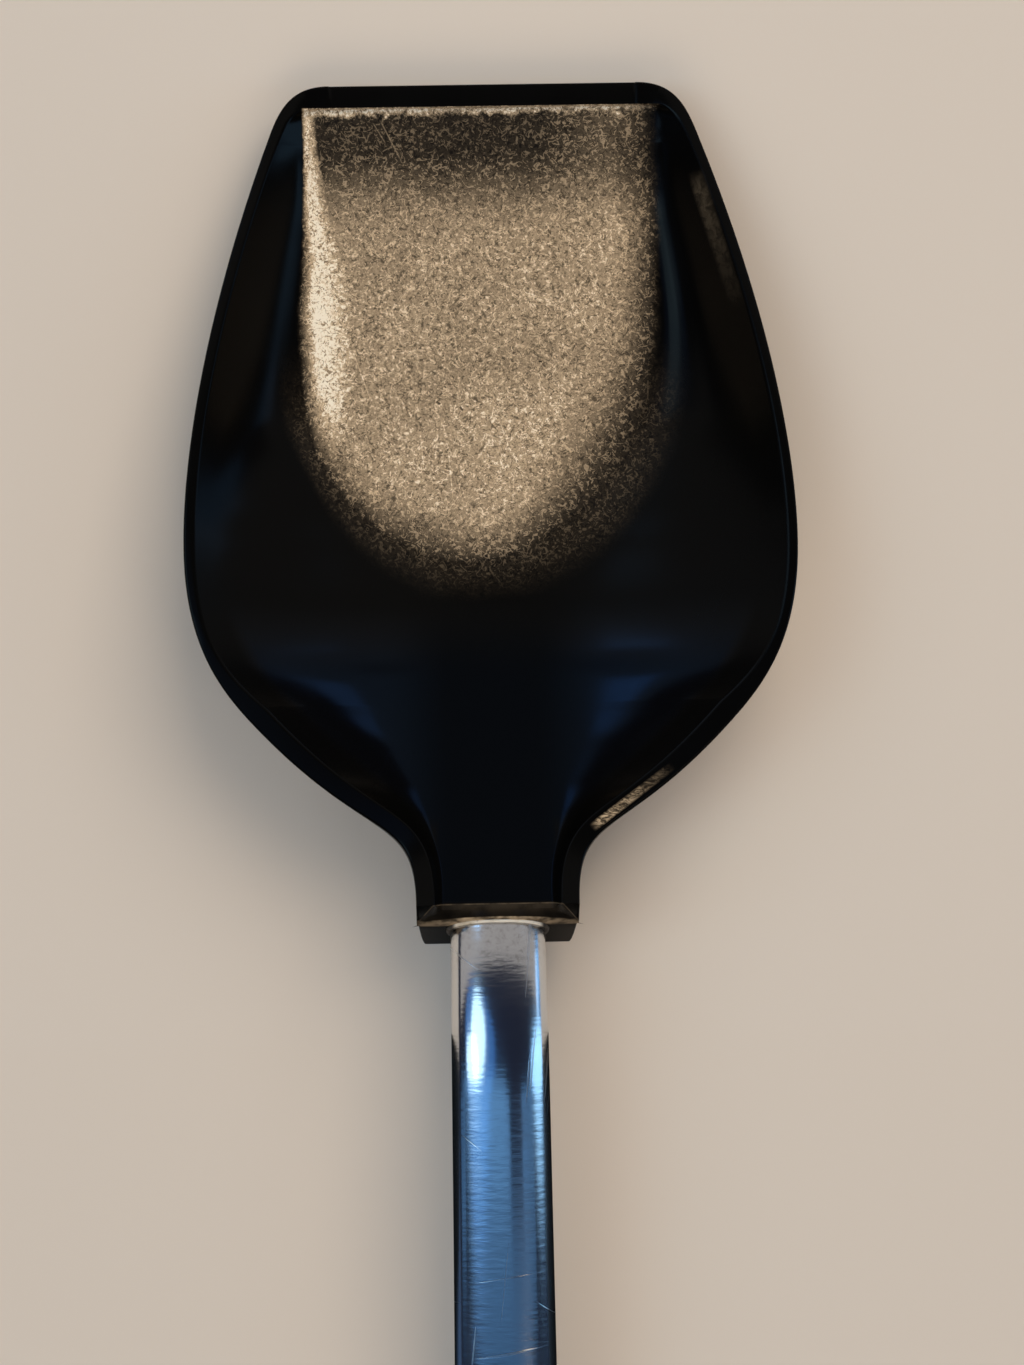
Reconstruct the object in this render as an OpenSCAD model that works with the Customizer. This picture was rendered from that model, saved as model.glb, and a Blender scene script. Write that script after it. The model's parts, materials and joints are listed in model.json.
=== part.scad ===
// Serving spoon: a moulded nylon scoop with a straight front edge, pinned to a polished oval steel
// tube that ends in a nylon cap with a hanging hole.
// Millimetres. The origin is the centre of the bowl's flat underside. +X is the right side seen from
// above with the front edge away from the viewer, +Y points to the front edge and +Z is up, so the
// handle runs towards -Y. The bowl's underside and the cap's foot both rest on the plane z = 0.

/* [Bowl] */
// Width of the bowl across its widest part
bowl_w = 78; // [68:1:88]
// Length from the widest part to the front edge
bowl_front_len = 60; // [52:1:70]
// Length from the widest part to the end of the neck's rails
bowl_back_len = 45.6; // [42:0.2:52]
// Distance of the widest part behind the centre of the flat underside
widest_back = 22.4; // [18:0.2:26]
// Length of the straight stretch of the front edge
front_edge_w = 40; // [34:1:44]
// Thickness of the floor
floor_t = 2; // [1.6:0.1:3]
// Thickness of the side walls, square to the wall
wall_t = 2; // [1.6:0.1:2.6]
// Length of the ramp from the floor up to the front edge
ramp_len = 12.4; // [8:0.2:18]
// Drop from the front rim to the top of the ramp
front_step = 0.5; // [0.3:0.1:1]
// Half length of the blend at the foot of the ramp
ramp_blend = 2; // [1:0.2:4]
// Distance behind the origin where the back slope would leave the floor if it had no blend
slope_back = 29; // [25:0.5:33]
// Half length of the blend between the floor and the back slope
slope_blend = 13; // [8:0.5:16]

/* [Rim] */
// Height of the rim at the front edge
rim_front_h = 5.6; // [4.6:0.1:7]
// Height of the rim round the back
rim_side_h = 16.3; // [14:0.1:18]
// Distance behind the origin where the rim reaches its full height
rim_peak_back = 37; // [30:1:44]
// Width of the rim's flat top along the front
front_land_w = 3; // [2:0.1:4]
// Width of the rim's flat top along the sides
side_land_w = 1.25; // [1:0.05:2]
// Width of the rim's flat top round the back
back_land_w = 2.6; // [1.8:0.1:3.2]
// Height of the upright face round the outside of the rim
rim_face_h = 1.4; // [0.8:0.1:2]

/* [Neck] */
// Width of the neck and its collar
neck_w = 20.6; // [19:0.2:24]
// Slope of the trough between the neck's rails, in degrees
trough_angle = 22; // [19:0.5:23]
// Width of each rail along the neck
rail_w = 2.4; // [1.8:0.1:3]
// Height of the rails above the trough
rail_h = 1.8; // [1.2:0.1:2.4]
// Width that is left of each rail at the collar's end face
rail_end_w = 0.7; // [0.5:0.1:1.2]
// Height of the rail ends above the lip's sides
rail_end_h = 0.6; // [0.4:0.1:1]
// Thickness of the lip over the mouth, at its crown
lip_t = 0.75; // [0.6:0.05:1.4]
// Fall of the lip from its crown to its sides
lip_fall = 2.1; // [1:0.1:2.6]
// Wall under the mouth
collar_floor_t = 1.8; // [1.4:0.1:2.4]
// Distance behind the origin where the keel leaves the underside
keel_back = 43; // [40:0.5:46]
// Half length of the blend where the keel leaves the underside
keel_blend = 9; // [5:0.5:12]
// Width of the keel's flat bottom
keel_w = 15.6; // [14.4:0.2:17]
// Radius-like rounding along the keel's bottom corners
keel_round = 1.6; // [1:0.1:2]
// Steepness of the keel's sides, in degrees
keel_side_angle = 81; // [76:0.5:83]

/* [Handle] */
// Distance of the mouth's centre behind the end of the neck's rails
ledge_len = 3.6; // [3:0.1:5]
// Rise of the lip's crown above the end of the trough
lip_rise = 0.1; // [0:0.1:0.6]
// Tilt of the tube where it leaves the mouth, in degrees
mouth_tilt = 20; // [17:0.5:22]
// Width of the tube at the mouth
tube_w = 12.2; // [11.4:0.1:13]
// Height of the tube
tube_h = 8; // [7.4:0.1:8.4]
// Width of the tube at its far end
tube_end_w = 16; // [13:0.2:19]
// Wall of the tube
tube_wall = 0.8; // [0.6:0.05:1]
// Radius of the bend that levels the tube
bend_r = 60; // [45:1:90]
// Length of the handle from the mouth to where the cap's end starts to round, along its middle line
handle_len = 214; // [170:1:250]
// Width of the tube's drawn-down tang
tang_w = 9; // [8:0.1:10]
// Height of the tang
tang_h = 5; // [4.6:0.1:5.4]
// Length of the tang and shoulder inside the mouth
tang_len = 18; // [15:0.5:19]
// Length of the rounded shoulder between tube and tang
shoulder_len = 2.8; // [2:0.1:3.4]
// Length of the shoulder that shows outside the mouth
shoulder_out = 0.8; // [0.4:0.1:1.2]
// Gap between the tube and the collar's mouth
mouth_gap = 0.5; // [0.35:0.05:0.7]

// Length of the sealing bead that shows outside the mouth
seal_out = 0.35; // [0.25:0.05:0.6]

/* [End cap] */
// Length of the cap behind the tube, before its rounded end
cap_len = 18; // [15:0.5:26]
// Length of the cap's rounded end
cap_round_len = 7.6; // [6:0.2:10]
// Length of the spigot inside the tube
spigot_len = 14; // [11:0.5:20]
// Diameter of the hanging hole
hole_d = 6; // [4:0.2:7]
// Distance from the cap's last full section forward to the hanging hole
hole_forward = 2.5; // [1.5:0.1:4]
// Width of the flat ring round the top of the hanging hole
hole_ring_w = 1.6; // [1:0.1:2]
// Depth of the flat ring below the cap's crown
hole_ring_depth = 1; // [0.8:0.1:1.5]
// Height ground off the cap's underside to make its foot
foot_cut = 0.5; // [0.3:0.05:0.8]

/* [Pins] */
// Diameter of the pin through the neck
head_pin_d = 2.5; // [2:0.1:2.8]
// Depth of the pin behind the mouth
head_pin_depth = 10; // [8:0.5:12]
// Distance that each end of the pin is sunk below the neck's side
head_pin_sink = 0.3; // [0.2:0.1:0.6]
// Diameter of the pin through the tube and the cap's spigot
cap_pin_d = 2.5; // [2:0.1:3]
// Distance from the tube's far end to the cap's pin
cap_pin_forward = 7; // [5:0.5:9]
// Distance that each end of the cap's pin is sunk below the tube's side
cap_pin_sink = 0.25; // [0.15:0.05:0.5]

/* [Fits] */
// Clearance round the tang in its socket
tang_gap = 0.12; // [0.08:0.01:0.2]
// Clearance of the tang's end and of the spigot's end
end_gap = 0.3; // [0.2:0.05:0.6]
// Clearance between the bead and what it seals
seal_gap = 0.04; // [0.02:0.01:0.08]
// Clearance round the cap's spigot in the tube
spigot_gap = 0.12; // [0.08:0.01:0.2]
// Clearance of the pins in the holes that they pass freely
pin_gap = 0.06; // [0.04:0.01:0.1]

/* [Hidden] */
$fn = 64;

nylon_black = "#1b1c1e";
steel_bright = "#b9bdc2";
bead_cream = "#e0cfb2";

// How far the cutting solids run past what they cut
overrun = 1;
// Height by which the bowl is lofted too deep before its underside is ground flat
ground_stock = 0.2;
// Fillet between the bowl's shell and the keel
keel_fillet = 0.5;

// Places and heights that the driving sizes give
half_w = bowl_w / 2;
y_wide = -widest_back;
y_front = y_wide + bowl_front_len;
y_neck = y_wide - bowl_back_len;
y_mouth = y_neck - ledge_len;
y_ramp_foot = y_front - front_land_w - ramp_len;
ramp_rise = (rim_front_h - front_step - floor_t) / ramp_len;
mouth_half_w = tube_w / 2 + mouth_gap;
mouth_half_h = tube_h / 2 + mouth_gap;
lip_crown_z = trough_z(y_neck) + lip_rise;
lip_side_z = lip_crown_z - lip_fall;
mouth_h = lip_crown_z - (mouth_half_h + lip_t) * cos(mouth_tilt);
collar_down = mouth_half_h + collar_floor_t;
collar_bottom_z = mouth_h - collar_down * cos(mouth_tilt);
collar_bottom_back = collar_down * sin(mouth_tilt) - y_mouth;
keel_rise = collar_bottom_z / (collar_bottom_back - keel_back);
rim_end_z = lip_side_z + rail_end_h;
y_rim_end = y_mouth + (rim_end_z - mouth_h) * tan(mouth_tilt);

// The right half of the bowl's outline is four joined curves, each with four control points. X is a
// share of half the bowl's width. Y is a share of the length in front of or behind the widest part.
corner_shares = [[0.646, 1], [0.681, 0.9405], [0.716, 0.876]];
side_shares = [[0.897, 0.5475], [1, 0.226], [1, 0]];
hip_shares = [[1, -0.255], [0.901, -0.384], [0.7915, -0.4874]];
shoulder_share = [0.409, -0.848];
neck_handle_share = 0.735;

// A place on the outline runs from 0 in the front edge to 4 at the neck, one for each curve. These
// tables give, at some places, what shapes the section there: the floor's half width and the blend
// between floor and wall, as shares of half the inner width, and which two of the rim's land widths
// the land lies between
floor_width_shares = [[0, 0.99], [0.5, 0.97], [1, 0.93], [1.15, 0.84], [1.38, 0.78], [1.62, 0.75],
    [1.75, 0.69], [1.88, 0.625], [2, 0.56], [2.25, 0.51], [2.5, 0.51], [2.75, 0.54], [3, 0.555],
    [3.12, 0.55], [3.3, 0.57], [3.5, 0.7], [3.75, 0.88], [4, 0.93]];
blend_shares = [[0, 0.01], [0.5, 0.02], [1, 0.05], [1.15, 0.08], [1.38, 0.09], [1.62, 0.17],
    [1.88, 0.32], [2.25, 0.43], [2.5, 0.43], [2.75, 0.36], [3, 0.28], [3.12, 0.17], [3.5, 0.13], [4, 0.06]];
land_shares = [[0, 0], [0.5, 0], [1.3, 1], [2.3, 1], [3, 2], [3.6, 3], [4, 3]];
// Places of the points across the inside of a section, from its middle to the rim, as shares of its
// half width. Under the bowl the first of as many points follow the keel, as shares of the keel's half
// width, and the rest lie between the keel and the rim.
inside_shares = [0, 0.13, 0.26, 0.38, 0.48, 0.56, 0.63, 0.69, 0.75, 0.8, 0.85, 0.9, 0.94, 0.975, 1];
keel_shares = [0, 0.45, 0.75, 0.88, 0.97, 1.05, 1.12, 1.19];
flank_shares = [0.14, 0.3, 0.46, 0.62, 0.77, 0.9, 1];
// How far the corner between floor and wall moves out through the wall, as a share of its thickness
corner_shift_share = 0.47;
// Place where the sections start to lean, until they stand square to the tube at the neck
lean_start = 3.1;
// Rings along each of the outline's four curves and along the ledge before the mouth
curve_rings = [10, 13, 10, 15];
ledge_rings = 3;

// Rings and points of the tube and the cap
oval_points = 32;
shoulder_rings = 6;
bend_rings = 9;
run_rings = 20;
cap_rings = 4;
cap_round_rings = 7;
// First ring of the shoulder under the bead
seal_first_ring = 2;
// Powers of the ovals, where 2 is an ellipse and more is squarer
oval_power = 2.25;
tang_power = 4;
// How the tube widens along its run, and how the cap's end rounds off in height
widen_power = 1.3;
cap_round_power = 5;
// Share of the cap's rounded end where its last, small section lies
cap_round_share = 0.97;

// Zero up to -r, a parabola from -r to r, and the straight line u after that
function knee(u, r) = u <= -r ? 0 : u >= r ? u : (u + r) * (u + r) / (4 * r);
function mix(a, b, share) = a + (b - a) * share;
function ease(share) = let (u = max(0, min(1, share))) u * u * (3 - 2 * u);
function smooth_min(a, b, r) = (a + b - sqrt((a - b) * (a - b) + r * r)) / 2;
function smooth_max(a, b, r) = (a + b + sqrt((a - b) * (a - b) + r * r)) / 2;
function bezier(p, t) = pow(1 - t, 3) * p[0] + 3 * pow(1 - t, 2) * t * p[1]
    + 3 * (1 - t) * t * t * p[2] + t * t * t * p[3];
function bezier_slope(p, t) = pow(1 - t, 2) * (p[1] - p[0]) + 2 * (1 - t) * t * (p[2] - p[1])
    + t * t * (p[3] - p[2]);

// The outline's control points and its points, inward normals and land widths at a place
function before_widest(share) = [share.x * half_w, y_wide + share.y * bowl_front_len];
function behind_widest(share) = [share.x * half_w, y_wide + share.y * bowl_back_len];
corner_points = [for (share = corner_shares) before_widest(share)];
side_points = [for (share = side_shares) before_widest(share)];
hip_points = [for (share = hip_shares) behind_widest(share)];
neck_points = [behind_widest(shoulder_share), [neck_w / 2, y_wide - neck_handle_share * bowl_back_len],
    [neck_w / 2, y_neck]];
outline_curves = [concat([[front_edge_w / 2, y_front]], corner_points),
    concat([corner_points[2]], side_points), concat([side_points[2]], hip_points),
    concat([hip_points[2]], neck_points)];
land_widths = [front_land_w, side_land_w, back_land_w, rail_w];

function outline_at(place) = let (k = min(floor(place), 3)) bezier(outline_curves[k], place - k);
function inward_at(place) =
    let (k = min(floor(place), 3), d = bezier_slope(outline_curves[k], place - k))
    [d.y, -d.x] / norm(d);
function land_at(place) =
    let (u = lookup(place, land_shares), k = min(floor(u), 2))
    mix(land_widths[k], land_widths[k + 1], u - k);

// Heights along the bowl's middle and along its rim
function trough_z(y) = floor_t + tan(trough_angle) * knee(-y - slope_back, slope_blend);
function floor_z(y) = trough_z(y) + ramp_rise * knee(y - y_ramp_foot, ramp_blend);
function keel_low_z(y) = y > 0 ? floor_z(y) - floor_t : keel_rise * knee(-y - keel_back, keel_blend);
function rim_arc_z(y) =
    let (u = max(0, min(1, (y_front - y) / (y_front + rim_peak_back))))
    mix(rim_front_h, rim_side_h, sin(90 * u));
function rim_z(y) = smooth_max(rim_arc_z(y), trough_z(y) + rail_h, rim_face_h);

// Height at x of a section whose floor and wall meet at crease, from low in its middle to high at half
function section_z(x, half, crease, blend, low, high) =
    low + (high - low) * knee(abs(x) - crease, blend) / knee(half - crease, blend);
// Height at x of the lip over the mouth
function lip_z(x) = lip_crown_z - lip_fall * pow(2 * x / (neck_w - 2 * rail_end_w), 2);

// A list from its last value down to the one after the first, then up again from the first
function both_sides(list) = concat([for (i = [len(list) - 1:-1:1]) -list[i]], list);
across_shares = both_sides(inside_shares);
function under_xs(half) =
    let (keel_xs = keel_shares * keel_w / 2, edge = keel_xs[len(keel_xs) - 1])
    both_sides(concat(keel_xs, [for (share = flank_shares) mix(edge, half, share)]));

// Y of a point at height z in a section that leans back about its rim
function lean_y(y, z, top, lean) = y + lean * (z - top) * tan(mouth_tilt);

// Outer heights across a section of the head, from left to right
function under_z(rim, top, crease, blend, lean) =
    let (
        out_crease = min(crease + corner_shift_share * wall_t, rim.x - rim_face_h),
        keel_y = lean_y(rim.y, keel_low_z(rim.y), top, lean),
        low = floor_z(rim.y) - floor_t
    )
    [for (x = under_xs(rim.x)) let (
        shell = section_z(x, rim.x, out_crease, blend, low, top - rim_face_h),
        keel = keel_low_z(keel_y) + tan(keel_side_angle) * knee(abs(x) - keel_w / 2, keel_round)
    ) smooth_min(shell, keel, keel_fillet) - ground_stock];

// A ring of points round a section: the right rim, under the bowl, the left rim and back inside
function ring(rim, inner, top, inside, under, lean) =
    let (last = len(across_shares) - 1, xs = under_xs(rim.x))
    concat(
        [[rim.x, rim.y, top]],
        [for (i = [last:-1:0]) [xs[i], lean_y(rim.y, under[i], top, lean), under[i]]],
        [[-rim.x, rim.y, top]],
        [for (i = [0:last]) [across_shares[i] * inner.x, lean_y(inner.y, inside[i], top, lean), inside[i]]]
    );

function bowl_ring(place) =
    let (
        rim = outline_at(place),
        inner = rim + land_at(place) * inward_at(place),
        top = rim_z(rim.y),
        low = place == 0 ? top : floor_z(inner.y),
        crease = inner.x * lookup(place, floor_width_shares),
        blend = inner.x * lookup(place, blend_shares),
        lean = ease((place - lean_start) / (4 - lean_start)),
        inside = [for (share = across_shares)
            section_z(share * inner.x, inner.x, crease, blend, low, top)]
    )
    ring(rim, inner, top, inside, under_z(rim, top, crease, blend, lean), lean);

// The ledge falls from the trough to the lip over the mouth, while the rails run out
function ledge_ring(share) =
    let (
        rim = [neck_w / 2, mix(y_neck, y_rim_end, share)],
        inner = [neck_w / 2 - mix(rail_w, rail_end_w, share), rim.y],
        top = mix(rim_z(y_neck), rim_end_z, share),
        crease = inner.x * lookup(4, floor_width_shares),
        blend = inner.x * lookup(4, blend_shares),
        inside = [for (k = across_shares) let (x = k * inner.x)
            mix(section_z(x, inner.x, crease, blend, trough_z(y_neck), top), lip_z(x), share)]
    )
    ring(rim, inner, top, inside, under_z(rim, top, crease, blend, 1), 1);

head_places = [for (k = [0:3]) for (i = [0:curve_rings[k] - 1]) k + i / curve_rings[k]];
head_rings = concat([for (place = head_places) bowl_ring(place)], [bowl_ring(4)],
    [for (i = [1:ledge_rings]) ledge_ring(i / ledge_rings)]);

// Faces between rings of n points, and a flat face over the first or the last ring
function loft_faces(count, n) = [for (k = [0:count - 2]) for (i = [0:n - 1])
    let (a = k * n + i, b = k * n + (i + 1) % n) each [[a, b, b + n], [a, b + n, a + n]]];
function first_face(n) = [for (i = [n - 1:-1:0]) i];
function last_face(count, n) = [for (i = [0:n - 1]) (count - 1) * n + i];

// A solid through rings of points, each an unbroken loop with the same number of points
module loft(rings) {
    count = len(rings);
    n = len(rings[0]);
    polyhedron(
        points = [for (r = rings) each r],
        faces = concat(loft_faces(count, n), [first_face(n)], [last_face(count, n)]),
        convexity = 8
    );
}

// The head closes with two flat faces at the front, the front edge and the strip of land behind it,
// and at the mouth with a strip of triangles between the underside and the lip
module head_loft() {
    count = len(head_rings);
    n = len(head_rings[0]);
    half = n / 2;
    end = (count - 1) * n;
    front_edge = [for (i = [half:-1:0]) i];
    front_land = concat([0], [for (i = [n - 1:-1:half]) i]);
    end_strip = [for (i = [1:half - 2]) let (a = end + i, b = end + n - i)
        each [[a, a + 1, b - 1], [a, b - 1, b]]];
    end_corners = [[end, end + 1, end + n - 1], [end + half - 1, end + half, end + half + 1]];
    polyhedron(
        points = [for (r = head_rings) each r],
        faces = concat(loft_faces(count, n), [front_edge, front_land], end_strip, end_corners),
        convexity = 8
    );
}

// The handle's middle line in the plane x = 0. It leaves the mouth at its tilt, levels out in the
// bend and then droops in one long arc, so that the cap's foot meets z = 0.
bend_len = bend_r * mouth_tilt * PI / 180;
run_len = handle_len - bend_len;
level_y = y_mouth - bend_r * sin(mouth_tilt);
level_z = mouth_h + bend_r * (1 - cos(mouth_tilt));
tube_len = handle_len - cap_len;
run_fall = level_z - tube_h / 2 + foot_cut;
droop_guess = 2 * run_fall / run_len;
droop = droop_guess * (1 + pow(droop_guess, 2) / 12) * 180 / PI;
run_r = run_len / (droop * PI / 180);

function heading(s) =
    s <= 0 ? mouth_tilt
    : s < bend_len ? mouth_tilt * (1 - s / bend_len)
    : -droop * min(1, (s - bend_len) / run_len);
function path(s) =
    let (a = heading(s))
    s <= 0 ? [y_mouth - s * cos(a), mouth_h + s * sin(a)]
    : s < bend_len ? [y_mouth - bend_r * (sin(mouth_tilt) - sin(a)),
        mouth_h + bend_r * (cos(a) - cos(mouth_tilt))]
    : s <= handle_len ? [level_y + run_r * sin(a), level_z - run_r * (1 - cos(a))]
    : path(handle_len) + (s - handle_len) * [-cos(a), sin(a)];

// Point i of an oval that is 2 wide and 2 high
function unit_oval(i, power) =
    let (a = 360 * i / oval_points)
    [sign(cos(a)) * pow(abs(cos(a)), 2 / power), sign(sin(a)) * pow(abs(sin(a)), 2 / power)];
// Points of an oval of half sizes half.x and half.y round the middle line at s
function oval_ring(s, half, power) =
    let (a = heading(s), c = path(s))
    [for (i = [oval_points - 1:-1:0]) let (p = unit_oval(i, power))
        [half.x * p.x, c.x + half.y * p.y * sin(a), c.y + half.y * p.y * cos(a)]];
function flat_oval(half, power) = [for (i = [0:oval_points - 1])
    let (p = unit_oval(i, power)) [half.x * p.x, half.y * p.y]];

// Half sizes and power of the tube's outside at s: the tang, the rounded shoulder, then the run
shoulder_root = shoulder_out - shoulder_len;
function shoulder_s(k) = shoulder_root + shoulder_len * (1 - cos(90 * k / shoulder_rings));
function shoulder_share_at(s) =
    let (u = max(0, min(1, (s - shoulder_root) / shoulder_len))) sqrt(1 - (1 - u) * (1 - u));
function run_half(s) =
    [mix(tube_w, tube_end_w, pow(max(0, min(1, s / tube_len)), widen_power)) / 2, tube_h / 2];
function tube_half(s) = mix([tang_w / 2, tang_h / 2], run_half(s), shoulder_share_at(s));
function tube_power(s) = mix(tang_power, oval_power, shoulder_share_at(s));

shoulder_stations = [for (k = [0:shoulder_rings]) shoulder_s(k)];
run_stations = concat([for (i = [1:bend_rings]) mix(shoulder_out, bend_len, i / bend_rings)],
    [for (i = [1:run_rings]) mix(bend_len, tube_len, i / run_rings)]);
tube_stations = concat([-tang_len], shoulder_stations, run_stations);
bore_stations = concat([-tang_len - overrun], shoulder_stations, run_stations, [tube_len + overrun]);

// Puts its children in the mouth's own frame: z out along the tube, y up from the tube's back
module at_mouth() {
    translate([0, y_mouth, mouth_h])
        rotate([90 - mouth_tilt, 0, 0])
            children();
}

// A pin or a pin's hole across the part, with its middle at y and z
module cross_pin(y, z, d, length) {
    translate([-length / 2, y, z])
        rotate([0, 90, 0])
            cylinder(h = length, d = d);
}

// Takes off what reaches below z = 0, from the front edge to the cap's end
module ground_flat(from_y, to_y, width) {
    difference() {
        children();
        translate([-width / 2 - overrun, from_y - overrun, -2 * overrun])
            cube([width + 2 * overrun, to_y - from_y + 2 * overrun, 2 * overrun]);
    }
}

head_pin_y = y_mouth + head_pin_depth * cos(mouth_tilt);
head_pin_z = mouth_h - head_pin_depth * sin(mouth_tilt);
head_pin_rise = head_pin_z - keel_low_z(head_pin_y);
head_pin_len = keel_w + 2 * head_pin_rise / tan(keel_side_angle) - 2 * head_pin_sink;
cap_pin_at = path(tube_len - cap_pin_forward);
cap_pin_len = 2 * run_half(tube_len - cap_pin_forward).x - 2 * cap_pin_sink;
recess_depth = end_gap - shoulder_root;
socket_depth = tang_len + end_gap;

// Where the tube sits in the collar: a recess for its shoulder, then a close socket for the tang
module socket() {
    at_mouth() {
        translate([0, 0, -recess_depth])
            linear_extrude(height = recess_depth + overrun)
                polygon(flat_oval([mouth_half_w, mouth_half_h], oval_power));
        translate([0, 0, -socket_depth])
            linear_extrude(height = socket_depth)
                polygon(flat_oval([tang_w / 2 + tang_gap, tang_h / 2 + tang_gap], tang_power));
    }
}

module spoon_head() {
    color(nylon_black)
        difference() {
            ground_flat(y_neck, y_front, bowl_w)
                head_loft();
            socket();
            cross_pin(head_pin_y, head_pin_z, head_pin_d, neck_w + 2 * overrun);
        }
}

module handle_tube() {
    wall = [tube_wall, tube_wall];
    color(steel_bright)
        difference() {
            loft([for (s = tube_stations) oval_ring(s, tube_half(s), tube_power(s))]);
            loft([for (s = bore_stations) oval_ring(s, tube_half(s) - wall, tube_power(s))]);
            cross_pin(head_pin_y, head_pin_z, head_pin_d + 2 * pin_gap, neck_w);
            cross_pin(cap_pin_at.x, cap_pin_at.y, cap_pin_d, tube_end_w + 2 * overrun);
        }
}

// A bead of sealant that fills the groove between the collar's mouth and the tube's shoulder. Its
// rings go along the shoulder, over the crown and back down the mouth to the first one.
module mouth_seal() {
    gap = [seal_gap, seal_gap];
    under = [for (k = [seal_first_ring:shoulder_rings - 1]) shoulder_s(k)];
    mouth_half = [mouth_half_w, mouth_half_h] - gap;
    last = under[len(under) - 1];
    crown = (mouth_half + tube_half(last) + gap) / 2;
    loops = concat(
        [for (s = under) oval_ring(s, tube_half(s) + gap, tube_power(s))],
        [oval_ring(seal_out, crown, oval_power), oval_ring(0, mouth_half, oval_power),
            oval_ring(under[0], mouth_half, oval_power)]
    );
    n = len(loops);
    color(bead_cream)
        polyhedron(
            points = [for (r = loops) each r],
            faces = [for (k = [0:n - 1]) for (i = [0:oval_points - 1]) let (
                a = k * oval_points, b = ((k + 1) % n) * oval_points, j = (i + 1) % oval_points
            ) each [[a + i, b + j, a + j], [a + i, b + i, b + j]]],
            convexity = 4
        );
}

module head_pin() {
    color(steel_bright)
        cross_pin(head_pin_y, head_pin_z, head_pin_d, head_pin_len);
}

// Half sizes of the cap at s: flush with the tube, then rounded off to its end
function cap_half(s) =
    let (u = max(0, (s - handle_len) / cap_round_len))
    [tube_end_w / 2 * sqrt(1 - u * u), tube_h / 2 * sqrt(1 - pow(u, cap_round_power))];

module end_cap() {
    spigot_half = run_half(tube_len) - [1, 1] * (tube_wall + spigot_gap);
    spigot_stations = [tube_len - spigot_len, tube_len];
    round_stations = [for (i = [1:cap_round_rings])
        handle_len + cap_round_len * cap_round_share * sin(90 * i / cap_round_rings)];
    cap_stations = concat([for (i = [0:cap_rings]) mix(tube_len, handle_len, i / cap_rings)],
        round_stations);
    hole_at = path(handle_len - hole_forward);
    ring_z = hole_at.y + tube_h / 2 - hole_ring_depth;
    color(nylon_black)
        difference() {
            ground_flat(path(handle_len + cap_round_len).x, path(tube_len).x, tube_end_w)
                loft(concat(
                    [for (s = spigot_stations) oval_ring(s, spigot_half, oval_power)],
                    [for (s = cap_stations) oval_ring(s, cap_half(s), oval_power)]
                ));
            translate([0, hole_at.x, -overrun])
                cylinder(h = ring_z + 2 * overrun, d = hole_d);
            translate([0, hole_at.x, ring_z])
                cylinder(h = hole_ring_depth + overrun, d = hole_d + 2 * hole_ring_w);
            cross_pin(cap_pin_at.x, cap_pin_at.y, cap_pin_d + 2 * pin_gap, tube_end_w);
        }
}

module cap_pin() {
    color(steel_bright)
        cross_pin(cap_pin_at.x, cap_pin_at.y, cap_pin_d, cap_pin_len);
}

spoon_head();
handle_tube();
mouth_seal();
head_pin();
end_cap();
cap_pin();
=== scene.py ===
import json
import logging
import math
from dataclasses import dataclass, field
from enum import Enum
from functools import cached_property, reduce
from typing import Callable, TypeVar

import bmesh
import bpy
import numpy as np
from mathutils import Matrix, Vector

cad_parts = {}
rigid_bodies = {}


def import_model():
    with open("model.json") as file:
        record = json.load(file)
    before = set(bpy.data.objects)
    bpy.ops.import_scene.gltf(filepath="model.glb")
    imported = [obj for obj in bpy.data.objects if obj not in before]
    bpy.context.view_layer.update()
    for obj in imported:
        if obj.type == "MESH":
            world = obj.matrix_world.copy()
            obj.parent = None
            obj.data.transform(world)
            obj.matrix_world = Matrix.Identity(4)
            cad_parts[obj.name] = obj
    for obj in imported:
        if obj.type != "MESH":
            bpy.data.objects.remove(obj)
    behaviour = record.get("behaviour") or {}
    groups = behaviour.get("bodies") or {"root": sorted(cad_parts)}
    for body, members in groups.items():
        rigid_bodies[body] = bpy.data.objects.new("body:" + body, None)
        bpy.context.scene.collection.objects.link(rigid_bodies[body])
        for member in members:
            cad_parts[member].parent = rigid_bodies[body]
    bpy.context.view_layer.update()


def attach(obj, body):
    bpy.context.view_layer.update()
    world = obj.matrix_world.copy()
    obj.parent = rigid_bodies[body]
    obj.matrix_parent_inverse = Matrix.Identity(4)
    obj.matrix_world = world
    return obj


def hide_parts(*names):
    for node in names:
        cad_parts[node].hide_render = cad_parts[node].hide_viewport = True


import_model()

LOG = logging.getLogger("serving_spoon")
MM = 0.001
BODY = "root"
QUARTER = math.pi / 2.0
HOLE_EXTRA = 1.0
SCRATCH_NOISE = (2.0, 0.5)
SCRATCH_BEND = 0.15
SCRATCH_EDGE = 0.03
STROKE_SOFT = (0.7, 0.4)

Socket = bpy.types.NodeSocket
Pair = tuple[float, float]
Row = tuple[float, ...]
Faces = list[tuple[int, ...]]
Inputs = dict[str | int, object]
Thing = TypeVar("Thing")


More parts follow.
